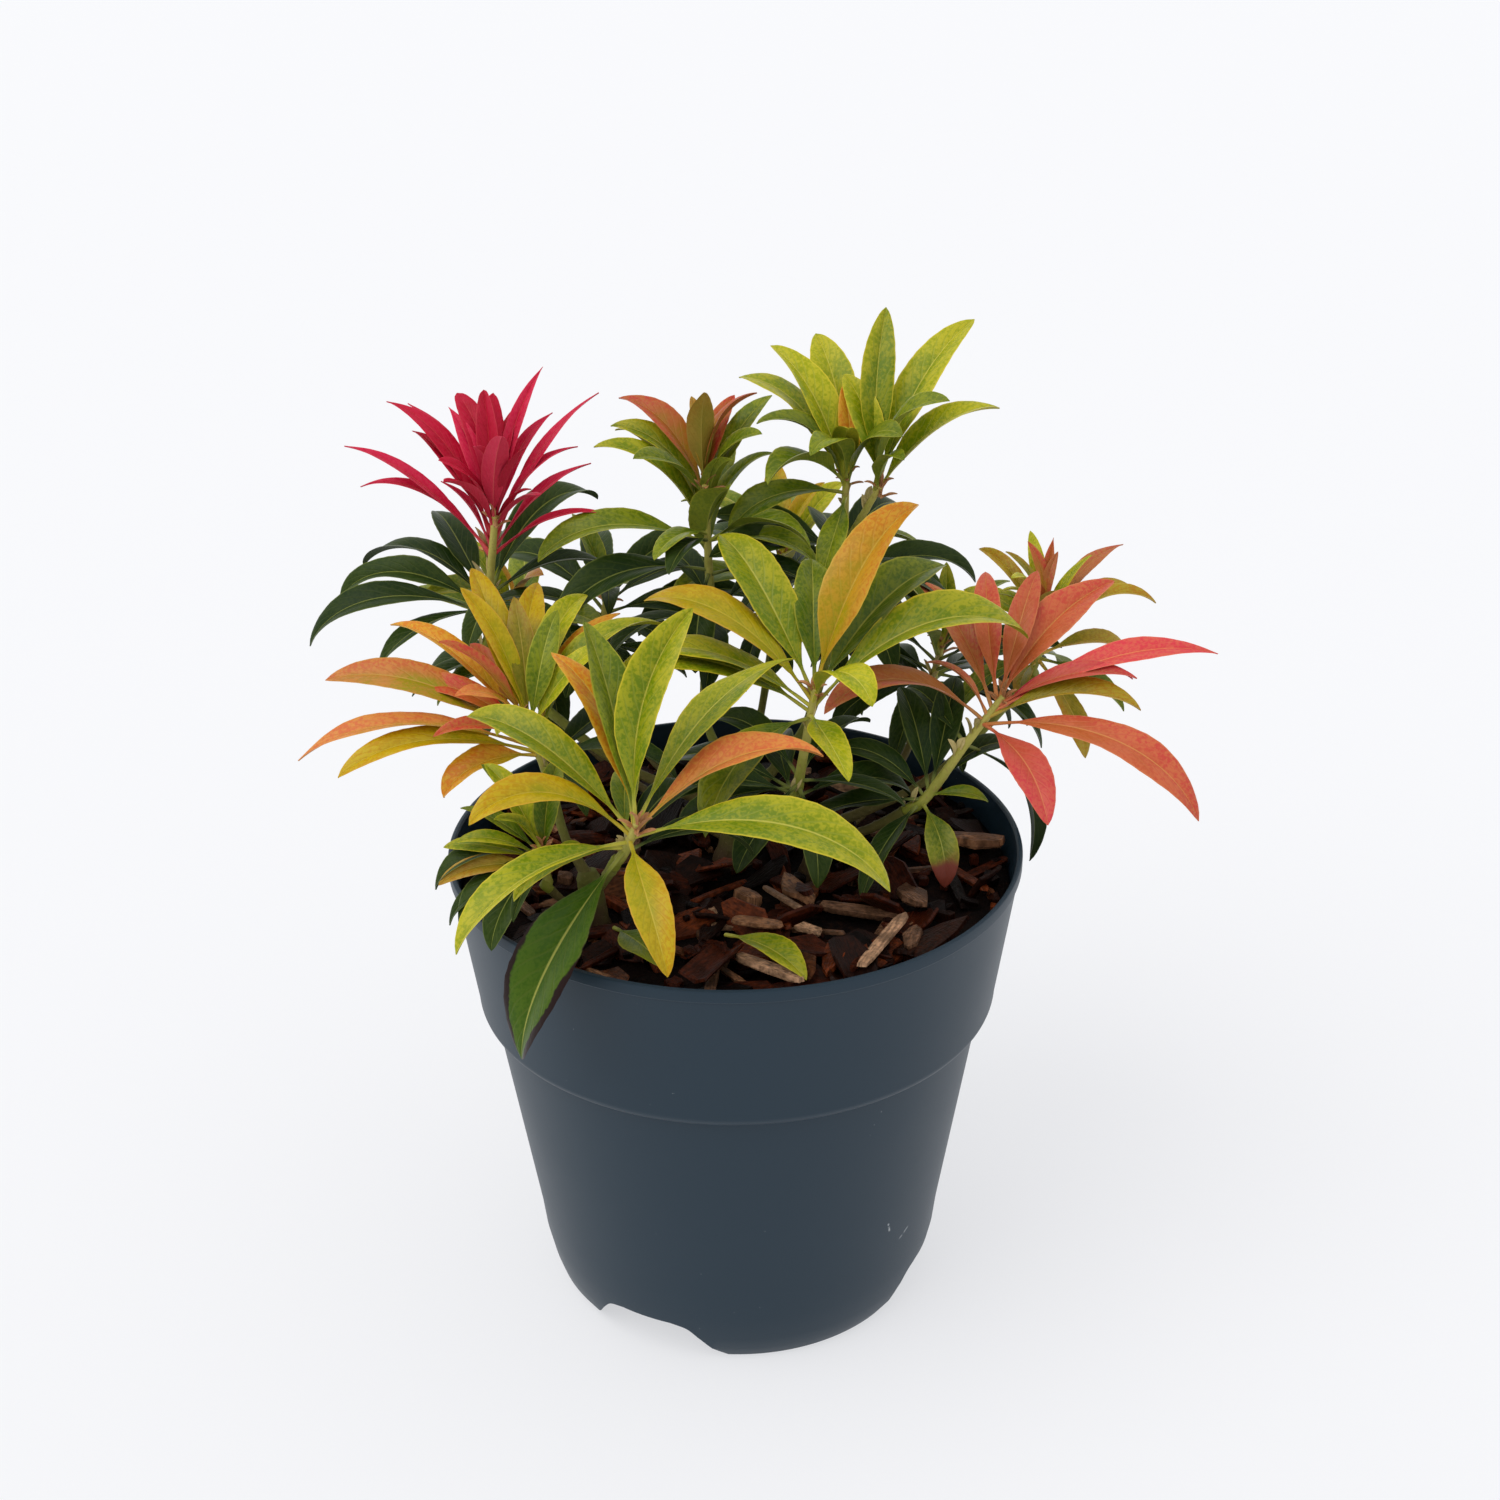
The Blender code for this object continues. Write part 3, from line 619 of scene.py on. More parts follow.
def tube(sides, rows):
    """Faces of a closed limb: its foot, its walls and its end."""
    ring = range(sides)
    return [tuple(reversed(ring)), *walls(sides, rows), tuple(rows * sides + i for i in ring)]


def sweep(path, radii, sides, relief):
    """Points and faces of a closed limb. The relief gives, for the length so far and the
    way round, what its radius is multiplied by."""
    points, along = [], 0.0
    across = Vector((1.0, 0.0, 0.0))
    for index, (spot, radius) in enumerate(zip(path, radii)):
        before, after = path[max(index - 1, 0)], path[min(index + 1, len(path) - 1)]
        onward = (after - before).normalized()
        across = (across - onward * across.dot(onward)).normalized()
        upward = onward.cross(across)
        if index:
            along += (spot - path[index - 1]).length
        for i in range(sides):
            turn = 2 * math.pi * i / sides
            out = across * math.cos(turn) + upward * math.sin(turn)
            points.append(spot + out * radius * relief(along, turn))
    return points, tube(sides, len(path) - 1)


def bark_relief(along, turn):
    """Shallow ridges that run up the bark, broken by cracks."""
    spot = Vector((math.cos(turn) * 3.2, math.sin(turn) * 3.2, along / 9))
    crack = Vector((math.cos(turn) * 7.0, math.sin(turn) * 7.0, along / 2.5))
    return 1 + 0.10 * noise.noise(spot) + 0.05 * noise.noise(crack)


def bark(name, low, high, low_colour, high_colour):
    """Bark that changes from its colour at one height to another higher up, in metres."""
    finish, shader, start = new_finish(name)
    place = start.node("TexCoord", output=3)
    height = start.node("SeparateXYZ", None, {0: place}, output=2)
    patches = start.grain(place, 160.0, 4.0)
    flecks = start.grain(place, 900.0, 3.0)
    greener = (height + (patches - 0.5) * 0.02).step(low, high)
    skin = greener.mix(low_colour, high_colour)
    shaded = (patches.step(0.35, 0.65) * 0.4).mix(skin, times(low_colour, 0.7))
    wire(
        shader,
        Base_Color=(flecks.step(0.6, 0.7) * 0.3).mix(shaded, (0.28, 0.21, 0.09)),
        Roughness=flecks * 0.2 + 0.55,
        Normal=(patches + flecks * 0.6).bump(0.7, 0.0008),
        Specular_IOR_Level=0.2,
    )
    return finish


woody_bark = bark("woody_bark", 0.154, 0.172, (0.080, 0.048, 0.022), (0.160, 0.180, 0.026))
for name, ((x, y), top, foot_radius, top_radius) in STEMS.items():
    foot = Vector((x, y, SOIL_LEVEL - 3.0))
    head = Vector(top)
    shares = [step / STEM_STEPS for step in range(STEM_STEPS + 1)]
    path = [foot.lerp(head, max(share - 0.1, 0.0) / 0.9) for share in shares]
    radii = []
    for share, spot in zip(shares, path):
        spot.z = foot.z + (head.z - foot.z) * share
        swell = np.interp(share, *zip(*STEM_FLARE))
        radii.append((foot_radius + (top_radius - foot_radius) * share) * swell)
    stem = solid("woody_" + name, *sweep(path, radii, STEM_SIDES, bark_relief))
    stem.data.materials.append(woody_bark)
    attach(stem, "root")
    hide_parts(name)

# Each bough is one tapering limb of two or three years' wood. It leaves its stem, turns up
# towards the light and ends at the foot of a shoot, and the scars of its fallen leaves
# stand out round it.
BOUGHS = {
    "red": ("trunk", 168, (-42, 30, 180), (-83, 42, 212), 3.0, 2.4),
    "small_top": ("trunk", 176, (-10, 30, 196), (-7, 46, 222), 2.7, 2.2),
    "top": ("trunk", 172, (24, 34, 190), (35, 54, 224), 3.0, 2.4),
    "dark_centre": ("trunk", 162, (-30, 48, 172), (-47, 66, 198), 2.6, 2.1),
    "back": ("trunk", 166, (8, 60, 176), (14, 88, 200), 2.6, 2.1),
    "back_left": ("trunk", 158, (-44, 60, 162), (-72, 84, 182), 2.5, 2.0),
    "salmon": ("stem_right", 166, (42, -7, 171), (55, -9, 179), 2.8, 2.5),
    "centre": ("stem_right", 172, (24, -9, 178), (19, -14, 183), 2.6, 2.4),
    "back_right": ("stem_right", 170, (66, 18, 178), (100, 42, 202), 2.6, 2.1),
    "right_low": ("stem_right", 161, (52, 36, 165), (68, 68, 182), 2.5, 2.0),
    "front_left": ("stem_left", 165, (-43, -50, 174), (-37, -60, 188), 2.9, 2.5),
    "left": ("stem_left", 170, (-54, -27, 180), (-58, -20, 192), 2.7, 2.3),
    "low_left": ("stem_left", 160, (-52, -42, 164), (-58, -46, 172), 2.2, 1.9),
}
SCAR_SPACING = 3.4
GOLDEN_ANGLE = 137.5


def twig_relief(along, turn):
    """A smooth skin with the low scars of fallen leaves, set a golden angle apart."""
    number = round(along / SCAR_SPACING)
    off = (along - number * SCAR_SPACING) / 0.9
    way = (turn - math.radians(GOLDEN_ANGLE * number) + math.pi) % (2 * math.pi) - math.pi
    scar = math.exp(-off * off - (way / 0.6) ** 2)
    spot = Vector((math.cos(turn) * 1.5, math.sin(turn) * 1.5, along / 8))
    return 1 + 0.16 * scar + 0.06 * noise.noise(spot)


def bough_path(name, count):
    """The bough's points, from inside its stem to the foot of its shoot."""
    stem, height, through, end, thick, thin = BOUGHS[name]
    (x, y), top, _, _ = STEMS[stem]
    share = (height - SOIL_LEVEL) / (top[2] - SOIL_LEVEL)
    start = Vector((x, y, SOIL_LEVEL)).lerp(Vector(top), share)
    return bend([start, through, end], count)


BOUGH_STEPS = 48
BOUGH_SIDES = 16
LIMB_SHARE = 0.82
WAIST = 0.24
green_bark = bark("green_bark", 0.165, 0.200, (0.110, 0.085, 0.025), (0.240, 0.270, 0.040))
for name, (*_, thick, thin) in BOUGHS.items():
    path = bough_path(name, BOUGH_STEPS)
    radii = []
    for i in range(BOUGH_STEPS + 1):
        share = LIMB_SHARE - WAIST * math.sin(math.pi * i / BOUGH_STEPS)
        radii.append((thick + (thin - thick) * i / BOUGH_STEPS) * share)
    bough = solid("green_bough_" + name, *sweep(path, radii, BOUGH_SIDES, twig_relief))
    bough.data.materials.append(green_bark)
    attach(bough, "root")
    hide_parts("bough_" + name)

# The shoots are this year's and last year's growth: one twig each, with whorls of leathery
# leaves that open crimson, salmon or orange and turn lime and then dark green. A leaf goes
# where the solid's own leaf is, and one that the solid leaves out is left out here too.
def old(*leaves):
    """Leaves of a whorl that have all turned dark: their rows without the tint."""
    return [(*leaf[:4], "dark", *leaf[4:]) for leaf in leaves]


def grown(count, seed, first_heading, rises, lengths, droops, tints):
    """Leaves of a whorl that follow the shoot's own rule, from its lowest to its highest:
    each turned a golden angle on from the last, and steadily more upright and shorter."""
    draw = random.Random(seed)
    rows = []
    for rank in range(count):
        share = rank / (count - 1)

        def between(ends):
            return ends[0] + (ends[1] - ends[0]) * share

        rows.append(
            (
                (first_heading + GOLDEN_ANGLE * rank) % 360,
                between(rises) + draw.uniform(-5, 5),
                between(lengths) * draw.uniform(0.9, 1.08),
                between(droops) + draw.uniform(-8, 8),
                tints[int(share * (len(tints) - 0.01))],
            )
        )
    return rows


# Each shoot: the points of its twig above its bough, the share of a leaf's length that is its
# width, and its whorls. A whorl is how far its highest leaf is below the twig's tip and its
# leaves, lowest first: heading, rise of the chord, length, droop along it, tint, and where it
# has one its own share of width.
SHOOTS = {
    "red": ([(-82, 42, 232), (-77, 31, 268)], 0.17, [
        (33, old(
            (187, -8, 62, 45, 0.26), (168, 0, 54, 50, 0.26), (205, -22, 44, 40, 0.28),
            (152, 6, 52, 42, 0.28), (330, -16, 34, 40, 0.3), (120, 24, 46, 25, 0.3),
            (50, 20, 60, 55, 0.27), (262, -10, 34, 40, 0.3), (20, 2, 44, 40, 0.28), (88, 6, 44, 30, 0.3),
        )),
        (3, [
            (173, 29, 49, 28, "crimson", 0.13), (12, 15, 42, 34, "carmine", 0.12),
            (167, 35, 60, 28, "crimson", 0.13), (20, 37, 44, 22, "crimson", 0.15),
            (204, 59, 31, 16, "crimson"), (31, 48, 62, 18, "crimson", 0.1),
            (149, 47, 59, 20, "carmine", 0.15), (324, 52, 29, 16, "carmine"),
            (47, 52, 47, 14, "crimson", 0.15), (139, 46, 54, 18, "crimson", 0.15),
            (29, 39, 41, 20, "crimson", 0.15), (142, 40, 45, 16, "carmine"),
            (57, 58, 57, 14, "crimson", 0.12), (308, 58, 41, 12, "carmine"),
            (117, 55, 47, 10, "carmine", 0.22), (286, 59, 45, 10, "crimson", 0.22),
            (90, 64, 43, 10, "carmine", 0.22), (100, 68, 43, 8, "carmine", 0.22),
        ]),
    ]),
    "small_top": ([(-8, 46, 240), (-9, 45, 273)], 0.28, [
        (46, old(
            (205, -16, 42, 40, 0.34), (320, -20, 36, 40, 0.34), (30, 8, 40, 36, 0.32),
            (265, -26, 36, 30, 0.34), (120, 10, 40, 36, 0.32),
        )),
        (14, [
            (188, -3, 58, 45, "green"), (345, -10, 40, 45, "green"), (178, 41, 50, 48, "lime"),
            (160, 46, 49, 36, "lime"), (240, 4, 34, 36, "green", 0.3), (307, 63, 33, 40, "green"),
            (20, 44, 34, 40, "green"), (146, 36, 46, 34, "lime"), (80, 24, 40, 34, "green"),
        ]),
        (1, [
            (146, 40, 46, 44, "rust"), (17, 62, 39, 34, "rust"), (36, 46, 40, 26, "green"),
            (272, 75, 39, 24, "bronze"), (57, 56, 33, 20, "rust"), (110, 66, 30, 14, "bronze"),
        ]),
    ]),
    "top": ([(37, 55, 246), (38, 56, 272)], 0.32, [
        (34, old(
            (225, -34, 40, 30, 0.34), (300, -30, 40, 30, 0.34), (14, -6, 50, 42, 0.3),
            (195, -14, 40, 50, 0.34), (340, 4, 36, 40, 0.34), (150, 12, 50, 30, 0.3),
            (60, 12, 46, 30, 0.32), (100, 2, 44, 36, 0.32),
        )),
        (2, [
            (230, -38, 34, 40, "green"), (196, -14, 44, 70, "green"), (157, 39, 54, 50, "lime"),
            (142, 54, 54, 34, "lime"), (245, 34, 38, 70, "green"), (95, 38, 54, 26, "lime"),
            (105, 48, 54, 22, "lime"),
        ]),
    ]),
    "centre": ([(22, -12, 200), (26, -10, 224)], 0.33, [
        (30, old(
            (192, -16, 42, 30, 0.32), (282, -40, 36, 30, 0.36), (232, -30, 38, 30, 0.36),
            (345, -8, 36, 40, 0.34), (140, 12, 40, 36, 0.32), (50, 8, 38, 30, 0.32),
        )),
        (1, [
            (234, -18, 60, 30, "green"), (286, -7, 40, 40, "lime"), (173, 10, 65, 40, "lime"),
            (10, 15, 75, 46, "lime"), (168, 14, 58, 34, "lime"), (304, 20, 37, 90, "lime", 0.42),
            (165, 28, 65, 56, "yellow"), (43, 25, 68, 30, "green"), (126, 38, 65, 34, "lime"),
            (43, 48, 71, 40, "orange"), (90, 40, 48, 30, "green"),
        ]),
    ]),
    "front_left": ([(-33, -65, 196), (-29, -70, 208)], 0.28, [
        (11, [
            (223, -52, 71, 20, "scorched", 0.46), (196, -20, 38, 30, "lime", 0.28),
            (90, 6, 40, 40, "green"),
        ]),
        (1, [
            (217, -15, 66, 50, "lime"), (285, -24, 52, 40, "yellow"), (346, -6, 82, 46, "lime"),
            (200, 15, 53, 54, "yellow"), (18, 15, 65, 50, "peach"), (154, 26, 64, 44, "lime"),
            (39, 31, 76, 44, "lime", 0.25), (133, 52, 59, 18, "orange"), (118, 60, 64, 16, "green"),
            (45, 68, 68, 18, "lime"),
        ]),
    ]),
    "left": ([(-61, -17, 202), (-67, -14, 217)], 0.24, [
        (2, [
            (204, -14, 35, 60, "orange", 0.42), (195, 0, 65, 40, "yellow", 0.21),
            (30, 34, 60, 60, "lime"), (186, 0, 76, 32, "peach", 0.17), (203, 16, 36, 60, "rust", 0.2),
            (48, 38, 52, 34, "orange"), (171, 14, 70, 32, "peach"), (164, 15, 45, 30, "rust"),
            (150, 27, 60, 20, "orange", 0.2), (66, 36, 53, 30, "lime"), (120, 48, 57, 20, "yellow"),
            (87, 40, 52, 20, "yellow"), (132, 34, 34, 14, "rust"), (125, 46, 30, 40, "orange"),
        ]),
    ]),
    "salmon": ([(62, -9, 184), (76, -3, 202), (87, 0, 216)], 0.27, [
        (38, [
            (235, -30, 40, 30, "dark", 0.32), (288, -44, 30, 30, "singed", 0.4),
            (180, -8, 40, 30, "dark", 0.32), (162, 22, 34, 30, "dark", 0.34),
            (350, -2, 20, 20, "green", 0.34), (108, 44, 38, 20, "dark", 0.34),
            (72, 40, 42, 20, "dark", 0.32), (30, 6, 38, 36, "dark", 0.32),
        ]),
        (20, old((34, -67, 58, 44, 0.2), (120, 10, 36, 30, 0.3))),
        (2, [
            (332, -13, 78, 36, "salmon", 0.2), (292, -18, 49, 30, "coral", 0.3),
            (195, 10, 56, 44, "copper", 0.24), (349, 8, 51, 44, "olive"),
            (166, 40, 27, 30, "copper", 0.22), (4, 14, 77, 34, "coral", 0.17),
            (12, 8, 49, 30, "crimson", 0.2), (118, 30, 56, 22, "copper", 0.22),
            (352, 16, 47, 22, "coral", 0.22), (38, 30, 60, 16, "salmon", 0.3),
            (92, 36, 50, 16, "salmon", 0.22), (66, 42, 48, 18, "salmon", 0.22),
        ]),
    ]),
    "back_right": ([(103, 43, 212), (105, 44, 226)], 0.28, [
        (14, [(310, -50, 38, 20, "olive"), (25, -14, 40, 40, "olive"), (80, 6, 38, 36, "green")]),
        (1, [
            (8, 15, 42, 50, "olive", 0.22), (156, 24, 31, 20, "lime"), (25, 20, 36, 36, "olive"),
            (132, 35, 37, 20, "olive", 0.2), (36, 32, 42, 18, "copper", 0.18), (200, 36, 26, 20, "lime"),
            (100, 52, 33, 14, "lime", 0.2), (237, 47, 31, 24, "lime", 0.2),
            (76, 58, 28, 14, "rust", 0.18), (120, 64, 26, 12, "rust", 0.2),
        ]),
    ]),
    "dark_centre": ([(-46, 68, 210), (-44, 70, 224)], 0.3, [
        (2, [
            (215, -16, 44, 40, "dark"), (320, -8, 40, 40, "dark"), (250, -24, 38, 30, "dark"),
            (180, 4, 42, 36, "dark"), (355, -6, 44, 40, "dark"), (140, 8, 52, 34, "dark"),
            (46, 12, 50, 34, "dark"), (95, 14, 48, 26, "dark"), (15, 12, 42, 30, "dark"),
            (275, 14, 32, 40, "dark"), (120, 44, 34, 20, "green"),
        ]),
    ]),
    "low_left": ([(-59, -46, 178), (-60, -46, 187)], 0.25, [
        (1, [
            (200, -24, 35, 34, "dark"), (190, -6, 34, 36, "bronze"), (250, -18, 26, 40, "dark"),
            (178, 8, 32, 36, "lime"), (187, 16, 28, 30, "lime"), (164, 26, 30, 24, "green"),
            (142, 44, 34, 20, "green"), (210, 44, 22, 20, "lime"),
        ]),
    ]),
    "back": ([(15, 91, 212), (17, 94, 226)], 0.28, [
        (12, grown(7, 11, 20, (-16, 6), (56, 50), (50, 40), ["dark"])),
        (1, grown(11, 12, 75, (8, 66), (58, 34), (44, 18), ["green", "lime", "yellow"])),
    ]),
    "back_left": ([(-74, 86, 192), (-78, 89, 206)], 0.27, [
        (12, grown(6, 21, 150, (-18, 0), (52, 48), (50, 40), ["dark"])),
        (1, grown(10, 22, 40, (6, 64), (56, 34), (44, 18), ["green", "lime", "orange"])),
    ]),
    "right_low": ([(70, 71, 190), (73, 75, 202)], 0.27, [
        (10, grown(6, 31, 335, (-18, 0), (50, 46), (50, 40), ["dark"])),
        (1, grown(9, 32, 60, (6, 62), (54, 32), (44, 18), ["dark", "green", "lime"])),
    ]),
}
LEAF_SPACING = 0.9
JOINT_GAP = 0.3
TURNS = (0, 7, -7, 14, -14, 21, -21, 30, -30)
PETIOLE_SHARE = 0.09
PETIOLE_RADIUS = 0.75
SOLID_STATIONS = (0.0, PETIOLE_SHARE, 0.36, 0.70, 1.0)
STATIONS = 36
TWIG_STEPS = 40
TWIG_SIDES = 12
TWIG_TIP_RADIUS = 1.1
SHORTEST_LEAF = 14
SAME_TIP = 0.05
MORE_ARCH = (14, 56)
BLADE_THICKNESS = 0.16
SIDE_TWIG_RADIUS = 1.7
BUD_SCALES = 9
ACROSS = (1, 0.85, 0.6, 0.3, 0.08, 0, -0.08, -0.3, -0.6, -0.85, -1)
BLUNT_TINTS = ("crimson", "carmine")
# More leaves within the whorls and in their shade, which the solid leaves to this scene, by
# shoot. Each keeps close to the box of its mass, but for the dark one that hangs over the rim.
HANGING = (43, -58, 68, 44, "dark", 0.2)
BOX_SLACK = 4.0
EXTRA_LEAVES = {
    "red": [
        (5, [
            (238, 44, 34, 20, "carmine", 0.22), (322, 38, 27, 16, "crimson", 0.26),
            (202, 58, 32, 16, "carmine", 0.24), (128, 58, 44, 14, "crimson", 0.17),
            (262, 66, 40, 12, "crimson", 0.22), (64, 62, 46, 12, "carmine", 0.17),
        ]),
    ],
    "salmon": [(20, [HANGING])],
    "centre": [
        (36, old(
            (150, -4, 50, 40, 0.3), (200, 6, 46, 40, 0.3), (95, 0, 46, 40, 0.3), (20, -10, 44, 40, 0.3),
        )),
    ],
    "front_left": [(15, [(60, 2, 52, 40, "dark", 0.3), (20, -12, 44, 40, "dark", 0.3)])],
    "low_left": [
        (2, [
            (212, -34, 36, 36, "dark", 0.36), (186, -16, 36, 40, "dark", 0.34),
            (232, -40, 38, 30, "dark", 0.36), (150, 54, 38, 24, "lime", 0.32),
            (70, 62, 36, 20, "green", 0.32), (300, 40, 24, 30, "olive", 0.34),
            (20, 30, 34, 34, "lime", 0.32),
        ]),
    ],
    "left": [
        (16, old((350, -6, 48, 40, 0.3), (60, 0, 46, 40, 0.28), (305, -16, 36, 36, 0.3))),
        (2, [
            (175, 46, 38, 20, "rust", 0.2), (212, 34, 30, 50, "peach", 0.26),
            (102, 62, 42, 20, "olive", 0.24), (142, 58, 50, 16, "yellow", 0.2),
            (60, 62, 40, 20, "green", 0.26), (20, 46, 38, 34, "lime", 0.26),
            (250, 26, 30, 44, "lime", 0.3),
        ]),
    ],
    "small_top": [
        (30, [
            (300, 66, 36, 20, "green", 0.46), (205, -12, 58, 46, "dark", 0.3),
            (262, -34, 40, 30, "dark", 0.34), (340, -4, 40, 40, "dark", 0.32),
        ]),
        (20, [(250, 2, 38, 40, "dark", 0.32), (330, 8, 40, 40, "green", 0.32)]),
        (4, [(215, 34, 34, 40, "green", 0.34), (330, 50, 34, 30, "green", 0.34)]),
    ],
    "top": [
        (26, old(
            (205, 6, 50, 24, 0.32), (262, -22, 40, 30, 0.36), (330, -16, 44, 34, 0.34),
            (172, 16, 46, 24, 0.3),
        )),
        (3, [
            (225, 14, 40, 60, "green", 0.44), (95, 72, 33, 10, "orange", 0.26),
            (200, 40, 42, 40, "green", 0.3), (310, 44, 38, 40, "green", 0.34),
            (60, 50, 42, 30, "green", 0.3), (270, 58, 36, 40, "lime", 0.3),
        ]),
    ],
    "dark_centre": [(14, grown(7, 41, 30, (-44, -14), (46, 42), (40, 30), ["dark"]))],
    "back": [
        (15, grown(9, 42, 60, (-42, -8), (50, 44), (50, 36), ["dark", "dark", "green"])),
    ],
    "back_left": [
        (13, grown(7, 43, 100, (-46, -10), (46, 40), (44, 34), ["dark", "green"])),
    ],
    "right_low": [(11, grown(7, 44, 10, (-40, -8), (46, 40), (44, 34), ["dark"]))],
    "back_right": [
        (14, grown(5, 45, 60, (-40, -4), (40, 36), (44, 34), ["green", "olive"])),
        (2, [
            (215, 38, 25, 20, "lime", 0.22), (165, 60, 28, 16, "olive", 0.2),
            (60, 68, 25, 14, "copper", 0.2), (290, 50, 24, 24, "olive", 0.4),
            (18, 56, 30, 16, "lime", 0.2), (250, 66, 24, 16, "rust", 0.2),
        ]),
    ],
}
SIDE_TWIG = ("top", [(37, 55, 246), (42, 53, 256), (49, 50, 270)])
SIDE_WHORL = (1, [
    (17, 31, 53, 44, "lime"), (340, 55, 46, 66, "green"), (43, 47, 69, 28, "lime", 0.26),
    (290, 40, 30, 50, "green"), (83, 63, 61, 14, "lime", 0.23), (120, 56, 40, 16, "lime"),
])


def shoot_path(name, points):
    """The twig's points, set off from its bough's end in the direction that this ends in."""
    limb = bough_path(name, 6)
    onward = (limb[-1] - limb[-2]).normalized()
    path = bend([BOUGHS[name][3], *points], 8)
    start = path[0] + onward * JOINT_GAP
    return [start, start + onward * 3.0] + path[2:]


def spot_below_tip(path, below):
    """The point of the twig that lies this far below its tip, measured along it."""
    for index in range(len(path) - 1, 0, -1):
        step = (path[index] - path[index - 1]).length
        if below <= step or index == 1:
            return path[index].lerp(path[index - 1], min(below / step, 0.95))
        below -= step


def midrib(root, heading, rise, length, droop, shares):
    """The points of the leaf's midrib at each share of its length."""
    turn = math.radians(heading)
    ahead = np.array((math.cos(turn), math.sin(turn), 0.0))
    up = np.array((0.0, 0.0, 1.0))
    shares = np.array(shares)
    lift = np.radians(rise + droop * (0.5 - (shares[1:] + shares[:-1]) / 2))[:, None]
    steps = (np.cos(lift) * ahead + np.sin(lift) * up) * (length * np.diff(shares))[:, None]
    return np.array(root) + np.vstack([np.zeros(3), np.cumsum(steps, axis=0)])


def held_turn(corners, root, row):
    """How far the solid's leaf is turned from its row, or None where it has no such leaf."""
    heading, rise, length, droop = row[:4]
    for turn in TURNS:
        spine = midrib(root, heading + turn, rise, length, droop, SOLID_STATIONS)
        if corners.find(Vector(spine[-1]) * MM)[2] < SAME_TIP * MM:
            return turn
    return None


def eased(share):
    """The share of a way, with an eased start and end."""
    share = np.clip(share, 0.0, 1.0)
    return share * share * (3 - 2 * share)


def blade_width(share, fullness):
    """A leaf's half outline from petiole to tip, as a share of its greatest width: drawn out
    to its foot, widest past the middle, and blunt at the tip where the fullness is low."""
    along = np.clip(share - PETIOLE_SHARE, 0.0, None) / (1 - PETIOLE_SHARE)
    return np.sqrt(eased(along / 0.4)) * np.sin(np.pi * np.clip(along**1.15, 0.0, 1.0)) ** fullness


def arched(root, row, more, share):
    """The midrib of a leaf that reaches the same tip, arched by more degrees, most of them in
    its outer half: its points, the way across it and its normal at each share."""
    spine = midrib(root, *row, SOLID_STATIONS)
    chord = spine[-1] - spine[0]
    reach = np.linalg.norm(chord)
    chord = chord / reach
    turn = math.radians(row[0])
    side = np.array((-math.sin(turn), math.cos(turn), 0.0))
    rising = np.cross(chord, side)
    angles = np.radians(row[3] + more) * (0.5 - 0.4 * share - 0.6 * share**2.4)
    middle = (angles[1:] + angles[:-1]) / 2
    steps = np.diff(share)
    run = np.concatenate([[0.0], np.cumsum(np.cos(middle) * steps)])
    lift = np.concatenate([[0.0], np.cumsum(np.sin(middle) * steps)])
    tip = math.atan2(lift[-1], run[-1])
    size = reach / math.hypot(lift[-1], run[-1])
    flat = (run * math.cos(tip) + lift * math.sin(tip)) * size
    high = (lift * math.cos(tip) - run * math.sin(tip)) * size
    angles = (angles - tip)[:, None]
    points = np.array(root) + chord * flat[:, None] + rising * high[:, None]
    return points, side, np.cos(angles) * rising - np.sin(angles) * chord


def leaf_points(root, row, width, fullness, draw, stations):
    """The points of one leaf, ring after ring from its petiole to its tip. Each ring runs
    from the left edge over the top to the right edge and back underneath."""
    length = row[2]
    share = np.linspace(0.0, 1.0, stations + 1)
    spine, side, normal = arched(root, row, draw.uniform(*MORE_ARCH), share)
    blade = eased((share - PETIOLE_SHARE * 0.8) / 0.12)[:, None]
    spine = spine + side * (draw.uniform(-0.05, 0.05) * length * np.sin(np.pi * share))[:, None]
    towards_light = 12 * math.cos(math.radians(row[0])) + draw.uniform(-14, 14)
    twist = np.radians(towards_light * blade + draw.uniform(-24, 24) * share[:, None] ** 1.5)
    across = side * np.cos(twist) + normal * np.sin(twist)
    above = normal * np.cos(twist) - side * np.sin(twist)
    teeth = 1 - 0.035 * ((share * 13) % 1.0) * (share > 0.35)
    outline = blade_width(share, fullness)
    half = np.maximum(outline * teeth * width * 0.46, PETIOLE_RADIUS * (1 - 0.85 * share))
    half = half[:, None]
    fold = math.radians(draw.uniform(14, 34)) * blade
    over = np.array(ACROSS)
    t = np.concatenate([over, over[-2:0:-1]])
    top = np.concatenate([np.ones(len(over)), -np.ones(len(over) - 2)])
    top[0] = top[len(over) - 1] = 0.0
    wave = draw.uniform(0.02, 0.13) * np.sin(
        2 * np.pi * (draw.uniform(1.2, 2.2) * share[:, None] + draw.random() + 0.3 * np.sign(t))
    )
    thick = BLADE_THICKNESS + (PETIOLE_RADIUS * 0.85 - BLADE_THICKNESS) * (1 - blade)
    height = half * np.abs(t) * np.sin(fold) + half * blade * t**2 * (wave - 0.10 * t**2)
    height = height + top * thick * np.sqrt(np.clip(1 - t**2, 0.0, 1.0))
    rib = np.exp(-((t / 0.10) ** 2)) * blade * (1 - 0.7 * share[:, None])
    height = height - rib * np.where(top > 0, 0.14, 0.38)
    out = half * t * np.cos(fold)
    points = spine[:, None, :] + across[:, None, :] * out[:, :, None]
    points = points + above[:, None, :] * height[:, :, None]
    return points.reshape(-1, 3), share, t


def leaf_faces(stations, ring):
    """Faces of a leaf's rings, and which of them are on its upper side."""
    upper = [i < ring // 2 for _ in range(stations) for i in range(ring)]
    return tube(ring, stations), [False, *upper, True]


